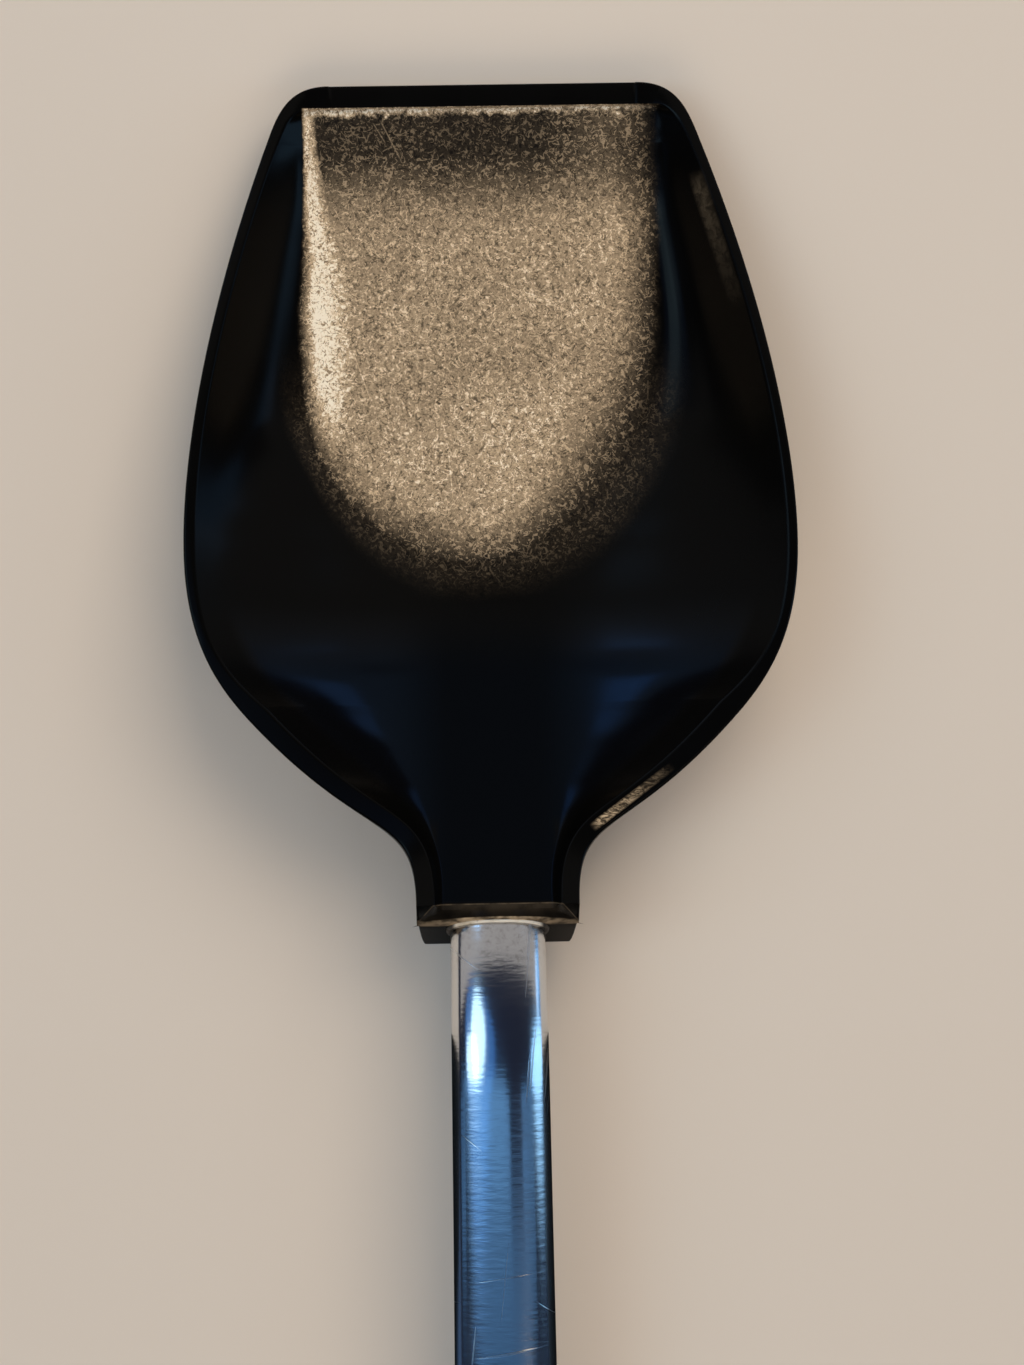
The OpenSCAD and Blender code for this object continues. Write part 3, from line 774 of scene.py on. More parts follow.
    def wall_reflection_streak(self, s: Shader) -> Term:
        """How pale the painted warm reflection streak high on the right wall is, with a fibrous texture."""
        _, y, z = s.axes
        # A painted warm reflection, drawn as a pale fibrous streak.
        fibres = s.noise(self.streak_cells, *self.fibre_noise, None, self.streak_bend)
        pale = fibres.fade(*self.streak_fibres) * y.fade(*self.streak_pale)
        return s.stroke(self.streak) * pale * z.fade(*self.streak_foot)

    def behind(self, s: Shader) -> Term:
        """1 on the back walls and the slope between them, whose reflections get a painted blue tint, and 0
        elsewhere.
        """
        x, y, z = s.axes
        trough = abs(x).fade(*self.trough_side) * y.fade(*self.trough_end)
        return y.fade(*self.back_start) * z.fade(*self.back_top).at_least(trough)

    def build(self) -> bpy.types.Material:
        """Makes the material of the head."""
        s = Shader(self.name)
        floor = self.floor_wear_and_glare(s)
        touched = floor.fade(*self.touched)
        fine = s.noise(1.0 / (self.grain * MM), *self.grain_noise)
        bright = s.most(*(self.curls(s, *curl) for curl in self.bright_curls))
        dark = s.most(*(self.curls(s, *curl) for curl in self.dark_curls))
        scattered = s.most(*(s.scratches(*each) for each in self.worn_scratches))
        lines = s.most(scattered * self.scratch_share, *(s.stroke(mark) for mark in self.marks))
        sunk = s.cells(self.pit_cells).fade(*self.pits) * self.pit_share
        pits = s.most(sunk, *(s.stroke(nick) for nick in self.nicks))
        # How pale each place is: the floor's wear with its painted glare, and the ledge's, rim's and right
        # wall's marks, partly wear and partly painted highlights and reflection. The palest places turn to a
        # painted glint.
        chalk_and_painted_light = floor * fine.fade(*self.grain_pale) * (dark * self.dark_pale + 1.0)
        chalk_and_painted_light += bright * (floor * self.bright_pale[0] + touched * self.bright_pale[1])
        chalk_and_painted_light = chalk_and_painted_light * (pits * self.pit_pale + 1.0) + touched * lines * self.line_pale
        chalk_and_painted_light = s.most(chalk_and_painted_light, self.ledge_wear_and_highlights(s), self.scuff_wear_and_highlight(s), self.wall_reflection_streak(s))
        pale = s.blend(chalk_and_painted_light.fade(*self.glints), Tone.CHALK_AND_GLARE, Tone.GLINT)
        behind = self.behind(s)
        rubbed = abs(s.axes[0]).fade(*self.rubbed_sides) * behind
        mirror = rubbed * (self.rubbed_mirror - self.mirror) + self.mirror
        hairs = s.scratches(*self.hair_scratches)
        gloss = s.noise(*self.gloss_noise).fade(*self.gloss)
        height = bright * self.bright_height + pits.at_least(dark) * self.dark_height + fine
        ground = s.bump((height + lines * self.line_height) * touched, self.grain_depth)
        peel = hairs * self.hair_height + s.noise(*self.peel_noise)
        s.set(
            Base_Color=s.blend(chalk_and_painted_light.at_most(1.0), Tone.SOOT, pale),
            Specular_IOR_Level=mirror * self.past_mouth(s).fade(*self.mouth_shade),
            # Painted blue reflection: the back walls tint what they mirror blue.
            Specular_Tint=s.blend(behind, Tone.CLEAR, Tone.BLUE_REFLECTION_TINT),
            Roughness=hairs * self.hair_rough + gloss.toward(fine.fade(*self.matt), touched),
            Normal=s.bump(peel, self.peel_depth, self.peel_strength, ground))
        return s.material


@dataclass(frozen=True)
class SatinNylon:
    """Black moulded nylon with an even satin texture and a few rubbed marks."""

    name: str = "satin_black_nylon"
    rough: Row = (0.3, 0.75, 0.29, 0.41)
    texture: float = 0.5
    texture_depth: float = 0.008
    grain_noise: Row = (2.0, 0.6)
    rubbed_noise: Row = (120.0, 4.0)
    rubbed: Row = (0.52, 0.72)
    rubbed_rough: float = -0.09
    scratches: Row = (70.0, 700.0, 24.0, 0.70)
    line_pale: float = 0.35
    line_height: float = -0.5

    def build(self) -> bpy.types.Material:
        """Makes the material of the end cap."""
        s = Shader(self.name)
        grain = s.noise(1.0 / (self.texture * MM), *self.grain_noise)
        rubbed = s.noise(*self.rubbed_noise).fade(*self.rubbed)
        lines = s.scratches(*self.scratches)
        s.set(
            Base_Color=s.blend(lines * self.line_pale, Tone.SOOT, Tone.CHALK_AND_GLARE),
            Roughness=rubbed * self.rubbed_rough + grain.fade(*self.rough),
            Normal=s.bump(lines * self.line_height + grain, self.texture_depth))
        return s.material


@dataclass(frozen=True)
class PolishedSteel:
    """Mirror-polished stainless steel with polishing marks, hair scratches, smears and stains."""

    name: str = "polished_steel"
    rough: float = 0.12
    smeared_rough: float = 0.19
    mark_noise: Row = (2600.0, 2.0, 0.5)
    mark_stretch: Row = (0.06, 1.0, 0.06)
    mark_rough: float = 0.04
    mark_height: float = 0.3
    ripple_noise: Row = (1500.0, 2.0, 0.5)
    ripple_stretch: Row = (0.25, 1.0, 0.25)
    smear_noise: Row = (70.0, 4.0, 0.6)
    smear_stretch: Row = (1.0, 0.5, 1.0)
    wave_noise: Row = (55.0, 1.5, 0.4)
    wave_stretch: Row = (1.0, 0.6, 1.0)
    wave_strength: float = 0.5
    smears: Row = (0.42, 0.72)
    stain_noise: Row = (1100.0, 5.0, 0.8)
    stains: Row = (0.48, 0.70)
    stained_run: Row = (-78.0, -74.0, 0.0, 0.55)
    scratches: tuple[Row, ...] = (
        (84.0, 1800.0, 60.0, 0.67), (-38.0, 1500.0, 40.0, 0.70), (9.0, 1300.0, 40.0, 0.71))
    hair_rough: float = 0.14
    hair_depth: float = 0.003
    ripple_depth: float = 0.014
    wave_depth: float = 0.02

    def build(self) -> bpy.types.Material:
        """Makes the steel's material; the polishing marks run round the piece."""
        s = Shader(self.name)
        marks = s.noise(*self.mark_noise, s.stretched(self.mark_stretch))
        ripples = s.noise(*self.ripple_noise, s.stretched(self.ripple_stretch))
        waves = s.noise(*self.wave_noise, s.stretched(self.wave_stretch))
        cloudy = s.noise(*self.smear_noise, s.stretched(self.smear_stretch)).fade(*self.smears)
        hairs = s.most(*(s.scratches(*each) for each in self.scratches))
        stain = s.noise(*self.stain_noise).fade(*self.stains) * s.axes[1].fade(*self.stained_run)
        wavy = s.bump(ripples, self.ripple_depth, 1.0, s.bump(waves, self.wave_depth, self.wave_strength))
        rough = cloudy * (self.smeared_rough - self.rough) + self.rough
        s.set(
            Base_Color=s.blend(stain, s.blend(cloudy, Tone.STEEL, Tone.CLOUDED), Tone.STAINED),
            Roughness=rough + marks * self.mark_rough + hairs * self.hair_rough,
            Normal=s.bump(marks * self.mark_height - hairs, self.hair_depth, 1.0, wavy),
            Metallic=1.0)
        return s.material


@dataclass(frozen=True)
class GroundSteel:
    """Ground steel of a dowel's end: turned rings and spots of tarnish."""

    name: str = "ground_steel"
    rough: Row = (0.3, 0.7, 0.24, 0.42)
    spot_noise: Row = (1500.0, 3.0)
    spots: Row = (0.55, 0.7)
    ring_noise: Row = (5200.0, 2.0, 0.5)
    ring_stretch: Row = (1.0, 1.0, 0.05)
    ring_depth: float = 0.004

    def build(self) -> bpy.types.Material:
        """Makes the pins' material."""
        s = Shader(self.name)
        grind = s.noise(*self.ring_noise, s.stretched(self.ring_stretch))
        spots = s.noise(*self.spot_noise).fade(*self.spots)
        s.set(
            Base_Color=s.blend(spots, Tone.GROUND, Tone.TARNISH),
            Roughness=grind.fade(*self.rough),
            Normal=s.bump(grind, self.ring_depth),
            Metallic=1.0)
        return s.material


@dataclass(frozen=True)
class CreamSealant:
    """Cream sealant: a little rough, yellowed in places, with dirt in its low spots and painted shade at its
    ends.
    """

    name: str = "cream_sealant"
    rough: Row = (0.3, 0.7, 0.45, 0.7)
    yellow_noise: Row = (220.0, 3.0)
    yellowed: Row = (0.4, 0.65)
    dirt_noise: Row = (900.0, 4.0, 0.7)
    dirt: Row = (0.56, 0.74, 0.0, 0.8)
    shaded_ends: Row = (5.2, 5.9)
    lump_noise: Row = (1300.0, 3.0, 0.6)
    lump_depth: float = 0.03

    def build(self) -> bpy.types.Material:
        """Makes the bead's material."""
        s = Shader(self.name)
        lumps = s.noise(*self.lump_noise)
        aged = s.blend(s.noise(*self.yellow_noise).fade(*self.yellowed), Tone.CREAM, Tone.YELLOWED)
        dirt = s.noise(*self.dirt_noise).fade(*self.dirt)
        s.set(
            # The ends darken with painted shade where the bead runs under the collar's lugs; elsewhere the
            # darkening is dirt.
            Base_Color=s.blend(dirt.at_least(abs(s.axes[0]).fade(*self.shaded_ends)), aged, Tone.GRIME_AND_SHADE),
            Roughness=lumps.fade(*self.rough),
            Normal=s.bump(lumps, self.lump_depth))
        return s.material


@dataclass
class HandleLine:
    """The handle's middle line in the plane x = 0, with the sizes that it follows from, in millimetres.

    It leaves the mouth at its tilt, levels out in the bend and then droops in one long arc.
    """

    mouth_y: float = -71.6
    mouth_z: float = 12.9236
    tilt: float = math.radians(20.0)
    bend_r: float = 60.0
    handle_len: float = 214.0
    tube_h: float = 8.0
    foot_cut: float = 0.5
    bend_len: float = field(init=False)
    run_len: float = field(init=False)
    droop: float = field(init=False)
    run_r: float = field(init=False)

    def __post_init__(self) -> None:
        """Works out the bend's and the long arc's sizes."""
        self.bend_len = self.bend_r * self.tilt
        self.run_len = self.handle_len - self.bend_len
        level_z = self.mouth_z + self.bend_r * (1.0 - math.cos(self.tilt))
        guess = 2.0 * (level_z - self.tube_h / 2.0 + self.foot_cut) / self.run_len
        self.droop = guess * (1.0 + guess * guess / 12.0)
        self.run_r = self.run_len / self.droop

    def angles(self, s: float) -> Pair:
        """The bend's angle that is left at s, and the long arc's that is done."""
        bent = self.tilt * (1.0 - clamp(s / self.bend_len))
        return bent, self.droop * clamp((s - self.bend_len) / self.run_len)

    def at(self, s: float) -> Pair:
        """The line's y and z at s."""
        a, b = self.angles(s)
        straight, past = min(s, 0.0), max(s - self.handle_len, 0.0)
        y = self.mouth_y - straight * math.cos(self.tilt) - self.bend_r * (math.sin(self.tilt) - math.sin(a))
        z = self.mouth_z + straight * math.sin(self.tilt) + self.bend_r * (math.cos(a) - math.cos(self.tilt))
        y -= self.run_r * math.sin(b) + past * math.cos(self.droop)
        z -= self.run_r * (1.0 - math.cos(b)) + past * math.sin(self.droop)
        return y, z

    def ring(self, s: float, half: Pair, power: float, count: int) -> np.ndarray:
        """Points of an oval round the line, square to it.

        Args:
            s: Where along the line.
            half: Half the oval's width and half its height.
            power: 2 for an ellipse, more for a squarer oval.
            count: How many points.

        Returns:
            The points, in an order that turns the faces of a loft outwards.
        """
        bent, drooped = self.angles(s)
        a, (y, z) = bent - drooped, self.at(s)
        px, pz = oval_points(half, power, count)
        return np.column_stack([px, y + pz * math.sin(a), z + pz * math.cos(a)])

    def mouth_frame(self) -> Matrix:
        """A frame at the mouth: Z out along the tube, Y up from the tube's back."""
        turn = Matrix.Rotation(QUARTER - self.tilt, 4, "X")
        return Matrix.Translation((0.0, self.mouth_y, self.mouth_z)) @ turn


@dataclass
class ScoopHead:
    """The moulded head: a flat-fronted bowl, its neck and the collar that holds the tube.

    Lengths are in millimetres. Shares along the outline run from place 0, the end of the straight
    front edge, to place 4, the end of the neck's rails.
    """

    line: HandleLine
    half_w: float = 39.0
    y_wide: float = -22.4
    front_len: float = 60.0
    back_len: float = 45.6
    front_edge_w: float = 40.0
    floor_t: float = 2.0
    wall_t: float = 2.0
    ramp_len: float = 12.4
    front_step: float = 0.5
    ramp_blend: float = 2.0
    slope_back: float = 29.0
    slope_blend: float = 13.0
    rim_front_h: float = 5.6
    rim_side_h: float = 16.3
    rim_peak_back: float = 37.0
    rim_face_h: float = 1.4
    land_widths: Row = (3.0, 1.25, 2.6, 2.4)
    neck_w: float = 20.6
    trough_tan: float = math.tan(math.radians(22.0))
    rail_h: float = 1.8
    rail_end_w: float = 0.7
    rail_end_h: float = 0.6
    lip_rise: float = 0.1
    lip_fall: float = 2.1
    collar_down: float = 6.3
    keel_back: float = 43.0
    keel_blend: float = 9.0
    keel_w: float = 15.6
    keel_round: float = 1.6
    keel_side: float = math.radians(81.0)
    keel_fillet: float = 0.5
    keel_widest: float = 0.97
    block_start: float = 62.8
    block_len: float = 4.6
    block_w: float = 19.3
    block_round: float = 0.35
    block_side: float = math.radians(87.0)
    ground_stock: float = 0.2
    corner_shift_share: float = 0.47
    lean_start: float = 3.1
    pin_d: float = 2.5
    pin_depth: float = 10.0
    recess_out: float = 1.5
    curve_rings: tuple[int, ...] = (40, 52, 40, 60)
    ledge_rings: int = 9
    mouth_sides: int = 96
    finer: int = 3
    edge_round: float = 0.34
    edge_segments: int = 4
    rim_weight: float = 1.0
    shell_weight: float = 0.8
    land_weight: float = 0.5
    mouth_weight: float = 0.6
    crease_deg: float = 38.0
    corner_shares = ((0.646, 1.0), (0.681, 0.9405), (0.716, 0.876))
    side_shares = ((0.897, 0.5475), (1.0, 0.226), (1.0, 0.0))
    hip_shares = ((1.0, -0.255), (0.901, -0.384), (0.7915, -0.4874))
    shoulder_share = (0.409, -0.848)
    neck_handle_share = 0.735
    floor_width_shares = (
        (0, 0.99), (0.35, 0.985), (0.5, 0.953), (0.8, 0.882), (1, 0.852), (1.15, 0.80), (1.38, 0.78),
        (1.62, 0.75), (1.75, 0.69), (1.88, 0.625), (2, 0.56), (2.25, 0.51), (2.5, 0.51), (2.75, 0.54),
        (3, 0.555), (3.12, 0.55), (3.3, 0.57), (3.5, 0.7), (3.75, 0.88), (4, 0.93))
    blend_shares = (
        (0, 0.01), (0.5, 0.016), (1, 0.035), (1.15, 0.065), (1.38, 0.09), (1.62, 0.17), (1.88, 0.32),
        (2.25, 0.43), (2.5, 0.43), (2.75, 0.36), (3, 0.28), (3.12, 0.17), (3.5, 0.13), (4, 0.06))
    land_shares = (
        (0, 0), (0.12, 0.06), (0.25, 0.2), (0.5, 0.62), (0.8, 0.95), (1.1, 1), (2.3, 1), (3, 2), (3.6, 3),
        (4, 3))
    inside_shares = (0, 0.13, 0.26, 0.38, 0.48, 0.56, 0.63, 0.69, 0.75, 0.8, 0.85, 0.9, 0.94, 0.975, 1)
    keel_shares = (0, 0.45, 0.75, 0.88, 0.97, 1.05, 1.12, 1.19)
    flank_shares = (0.14, 0.3, 0.46, 0.62, 0.77, 0.9, 1)

    def __post_init__(self) -> None:
        """Works out the outline's curves and the places that the sizes give."""
        ahead, back = self.corner_shares + self.side_shares, self.hip_shares + (self.shoulder_share,)
        before = [(x * self.half_w, self.y_wide + y * self.front_len) for x, y in ahead]
        behind = [(x * self.half_w, self.y_wide + y * self.back_len) for x, y in back]
        neck = self.neck_w / 2.0
        self.y_front = self.y_wide + self.front_len
        self.y_neck = self.y_wide - self.back_len
        handle = (neck, self.y_wide - self.neck_handle_share * self.back_len)
        start = (self.front_edge_w / 2.0, self.y_front)
        self.curves = [[start] + before[:3], before[2:6], [before[5]] + behind[:3],
                       [behind[2], behind[3], handle, (neck, self.y_neck)]]
        self.ramp_foot = self.y_front - self.land_widths[0] - self.ramp_len
        self.ramp_rise = (self.rim_front_h - self.front_step - self.floor_t) / self.ramp_len
        self.lip_crown = self.trough_z(self.y_neck) + self.lip_rise
        bottom_z = self.line.mouth_z - self.collar_down * math.cos(self.line.tilt)
        bottom_back = self.collar_down * math.sin(self.line.tilt) - self.line.mouth_y
        self.keel_rise = bottom_z / (bottom_back - self.keel_back)
        self.rim_end_z = self.lip_crown - self.lip_fall + self.rail_end_h
        self.rim_end_y = self.line.mouth_y + (self.rim_end_z - self.line.mouth_z) * math.tan(self.line.tilt)

    def outline(self, place: float) -> np.ndarray:
        """The outline's point at a place."""
        k = min(int(place), 3)
        return bezier(self.curves[k], place - k)

    def inward(self, place: float) -> np.ndarray:
        """The direction from the outline into the bowl at a place."""
        k = min(int(place), 3)
        d = bezier_slope(self.curves[k], place - k)
        return np.array([d[1], -d[0]]) / np.hypot(*d)

    def land(self, place: float) -> float:
        """The width of the rim's flat top at a place."""
        return float(np.interp(lookup(place, self.land_shares), range(4), self.land_widths))

    def trough_z(self, y: float) -> float:
        """The height of the bowl's middle without the front ramp."""
        return self.floor_t + self.trough_tan * float(knee(-y - self.slope_back, self.slope_blend))

    def floor_z(self, y: float) -> float:
        """The height of the bowl's middle."""
        return self.trough_z(y) + self.ramp_rise * float(knee(y - self.ramp_foot, self.ramp_blend))

    def keel_z(self, y: float) -> float:
        """The height of the keel's flat bottom."""
        if y > 0.0:
            return self.floor_z(y) - self.floor_t
        return self.keel_rise * float(knee(-y - self.keel_back, self.keel_blend))

    def rim_z(self, y: float) -> float:
        """The height of the rim."""
        u = clamp((self.y_front - y) / (self.y_front + self.rim_peak_back))
        arc = mix(self.rim_front_h, self.rim_side_h, math.sin(QUARTER * u))
        return float(smooth_max(arc, self.trough_z(y) + self.rail_h, self.rim_face_h))

    def section(
        self, x: np.ndarray, half: float, crease: float, blend: float, low: float, high: float,
    ) -> np.ndarray:
        """Heights across a section whose floor and wall meet at a crease.

        Args:
            x: Where the heights are asked for.
            half: Half the section's width.
            crease: Half the floor's width.
            blend: The half length of the blend at the crease.
            low: The floor's height.
            high: The height at the section's edges.

        Returns:
            The heights.
        """
        return low + (high - low) * knee(np.abs(x) - crease, blend) / knee(half - crease, blend)

    def finer_both_sides(self, shares: Row) -> np.ndarray:
        """The given shares with more of them evenly between each two, mirrored about zero."""
        steps = np.arange((len(shares) - 1) * self.finer + 1) / self.finer
        values = np.interp(steps, range(len(shares)), shares)
        return np.concatenate([-values[:0:-1], values])

    def under_xs(self, half: float, keel_half: float) -> np.ndarray:
        """Where the points under a section lie, from left to right."""
        widest = self.keel_shares[-1]
        keel = np.array(self.keel_shares) / widest * min(widest * keel_half, self.keel_widest * half)
        flank = keel[-1] + (half - keel[-1]) * np.array(self.flank_shares)
        return self.finer_both_sides(tuple(np.concatenate([keel, flank])))

    def inside_xs(self, half: float) -> np.ndarray:
        """Where the points inside a section lie, from left to right."""
        return self.finer_both_sides(self.inside_shares) * half

    def ring(
        self, rim: Pair, inner: Pair, top: float, inside: np.ndarray, crease: float, blend: float,
        lean: float,
    ) -> np.ndarray:
        """One closed ring: the right rim, under the bowl, the left rim and back inside.

        Args:
            rim: The outline's point.
            inner: The inner edge of the rim's flat top.
            top: The rim's height.
            inside: Heights across the inside.
            crease: Half the floor's width.
            blend: The half length of the blend between floor and wall.
            lean: How far the section stands square to the tube, from 0 to 1.

        Returns:
            The ring's points.
        """
        slant = lean * math.tan(self.line.tilt)
        out_crease = min(crease + self.corner_shift_share * self.wall_t, rim[0] - self.rim_face_h)
        keel_y = rim[1] + slant * (self.keel_z(rim[1]) - top)
        block = ease((-rim[1] - self.block_start) / self.block_len)
        keel_half = mix(self.keel_w, self.block_w, block) / 2.0
        keel_tan = math.tan(mix(self.keel_side, self.block_side, block))
        keel_round = mix(self.keel_round, self.block_round, block)
        xs = self.under_xs(rim[0], keel_half)
        low = self.floor_z(rim[1]) - self.floor_t
        shell = self.section(xs, rim[0], out_crease, blend, low, top - self.rim_face_h)
        keel = self.keel_z(keel_y) + keel_tan * knee(np.abs(xs) - keel_half, keel_round)
        under = np.maximum(-smooth_max(-shell, -keel, self.keel_fillet) - self.ground_stock, 0.0)
        below = np.column_stack([xs, rim[1] + slant * (under - top), under])[::-1]
        above = np.column_stack([self.inside_xs(inner[0]), inner[1] + slant * (inside - top), inside])
        return np.vstack([[[rim[0], rim[1], top]], below, [[-rim[0], rim[1], top]], above])

    def crease_at(self, place: float, half: float) -> Pair:
        """Half the floor's width and its blend's half length at a place, from half the inside's width."""
        return half * lookup(place, self.floor_width_shares), half * lookup(place, self.blend_shares)

    def bowl_ring(self, place: float) -> np.ndarray:
        """The ring at a place on the outline."""
        rim = self.outline(place)
        inner = rim + self.land(place) * self.inward(place)
        top = self.rim_z(rim[1])
        low = top if place == 0 else self.floor_z(inner[1])
        crease, blend = self.crease_at(place, inner[0])
        lean = ease((place - self.lean_start) / (4.0 - self.lean_start))
        inside = self.section(self.inside_xs(inner[0]), inner[0], crease, blend, low, top)
        return self.ring(rim, inner, top, inside, crease, blend, lean)

    def ledge_ring(self, share: float) -> np.ndarray:
        """A ring on the ledge that falls from the trough to the lip over the mouth."""
        neck = self.neck_w / 2.0
        rim = (neck, mix(self.y_neck, self.rim_end_y, share))
        inner = (neck - mix(self.land_widths[3], self.rail_end_w, share), rim[1])
        top = mix(self.rim_z(self.y_neck), self.rim_end_z, share)
        crease, blend = self.crease_at(4.0, inner[0])
        across = self.inside_xs(inner[0])
        flat = self.section(across, inner[0], crease, blend, self.trough_z(self.y_neck), top)
        lip = self.lip_crown - self.lip_fall * (2.0 * across / (self.neck_w - 2.0 * self.rail_end_w)) ** 2
        return self.ring(rim, inner, top, mix(flat, lip, share), crease, blend, 1.0)

    def shell(self) -> bpy.types.Object:
        """Builds the head's closed mesh, with its edges marked for rounding."""
        places = [k + i / n for k, n in enumerate(self.curve_rings) for i in range(n)] + [4.0]
        rings = [self.bowl_ring(p) for p in places]
        rings += [self.ledge_ring((i + 1) / self.ledge_rings) for i in range(self.ledge_rings)]
        points, faces = loft(rings)
        n, base = len(rings[0]), len(points)
        across, end = (n - 2) // 2, base - n
        left = across + 1
        front_xs = rings[0][left + 2:n - 1, 0]
        front = [(x, self.y_front, self.rim_front_h) for x in front_xs]
        edge_row = [left, *range(base, base + across - 2), 0]
        under_row, inner_row = list(range(across, 0, -1)), list(range(left + 1, n))
        low_row, lip_row = [end + i for i in under_row], [end + i for i in inner_row]
        faces = faces[:-2]
        for a, b in ((inner_row, edge_row), (edge_row, under_row), (low_row, lip_row)):
            faces += [(b[i], b[i + 1], a[i + 1], a[i]) for i in range(across - 1)]
        faces += [(end, end + 1, end + n - 1), (end + across, end + left, end + left + 1)]
        made = new_mesh_object("bowl_and_neck", np.vstack([points, front]), faces)
        rows = [(range(start, base, n), self.rim_weight) for start in (0, left)]
        rows += [(range(start, base, n), self.shell_weight) for start in (1, across, n - 1, left + 1)]
        rows += [(edge_row, self.rim_weight), (under_row, self.shell_weight), (inner_row, self.land_weight)]
        rows.append(([*range(end, base), end], self.mouth_weight))
        self.mark_rounding(made, rows)
        return made

    def mark_rounding(self, made: bpy.types.Object, rows: list[tuple[range | list[int], float]]) -> None:
        """Gives the edges that the mould rounds a bevel weight.

        Args:
            made: The head's object.
            rows: Rows of points along those edges, each with its weight; a later row counts first.
        """
        weights = {(min(pair), max(pair)): weight for row, weight in rows for pair in zip(row, row[1:])}
        layer = made.data.attributes.new("bevel_weight_edge", "FLOAT", "EDGE")
        values = [weights.get((min(e.vertices), max(e.vertices)), 0.0) for e in made.data.edges]
        layer.data.foreach_set("value", values)

    def mouth_cutter(self, tube: "HandleTube") -> bpy.types.Object:
        """The solid of the recess for the tube's shoulder and the socket for its tang."""
        wide = (tube.tube_w / 2.0 + tube.mouth_gap, tube.tube_h / 2.0 + tube.mouth_gap)
        tight = (tube.tang_w / 2.0 + tube.tang_gap, tube.tang_h / 2.0 + tube.tang_gap)
        root = tube.shoulder_out - tube.shoulder_len - tube.end_gap
        steps = ((self.recess_out, wide, tube.oval_power), (root, wide, tube.oval_power),
                 (root, tight, tube.tang_power), (-tube.tang_len - tube.end_gap, tight, tube.tang_power))
        place = self.line.mouth_frame()
        rings = []
        for out, half, power in steps:
            oval = zip(*oval_points(half, power, self.mouth_sides))
            rings.append(np.array([place @ Vector((a, b, out)) for a, b in oval]))
        made = new_mesh_object("mouth_cutter", *loft(rings))
        outward(made)
        return made

    def pin_place(self) -> Pair:
        """The y and z of the pin through the neck."""
        line, depth = self.line, self.pin_depth
        return line.mouth_y + depth * math.cos(line.tilt), line.mouth_z - depth * math.sin(line.tilt)

    def build(self, tube: "HandleTube", finish: bpy.types.Material) -> bpy.types.Object:
        """Builds the finished head.

        Args:
            tube: The handle's tube, which the collar fits.
            finish: The nylon.

        Returns:
            The head, riding on the part.
        """
        made = self.shell()
        modify(
            made, "BEVEL", limit_method="WEIGHT", width=self.edge_round * MM, segments=self.edge_segments,
            use_clamp_overlap=False)
        apply_modifiers(made)
        outward(made)
        cut_with(made, self.mouth_cutter(tube), cross_hole(self.pin_d, self.neck_w, self.pin_place()))
        smooth_shade(made, self.crease_deg)
        modify(made, "WEIGHTED_NORMAL", keep_sharp=True)
        apply_modifiers(made)
        dress(made, finish)
        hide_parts("spoon_head")
        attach(made, BODY)
        return made


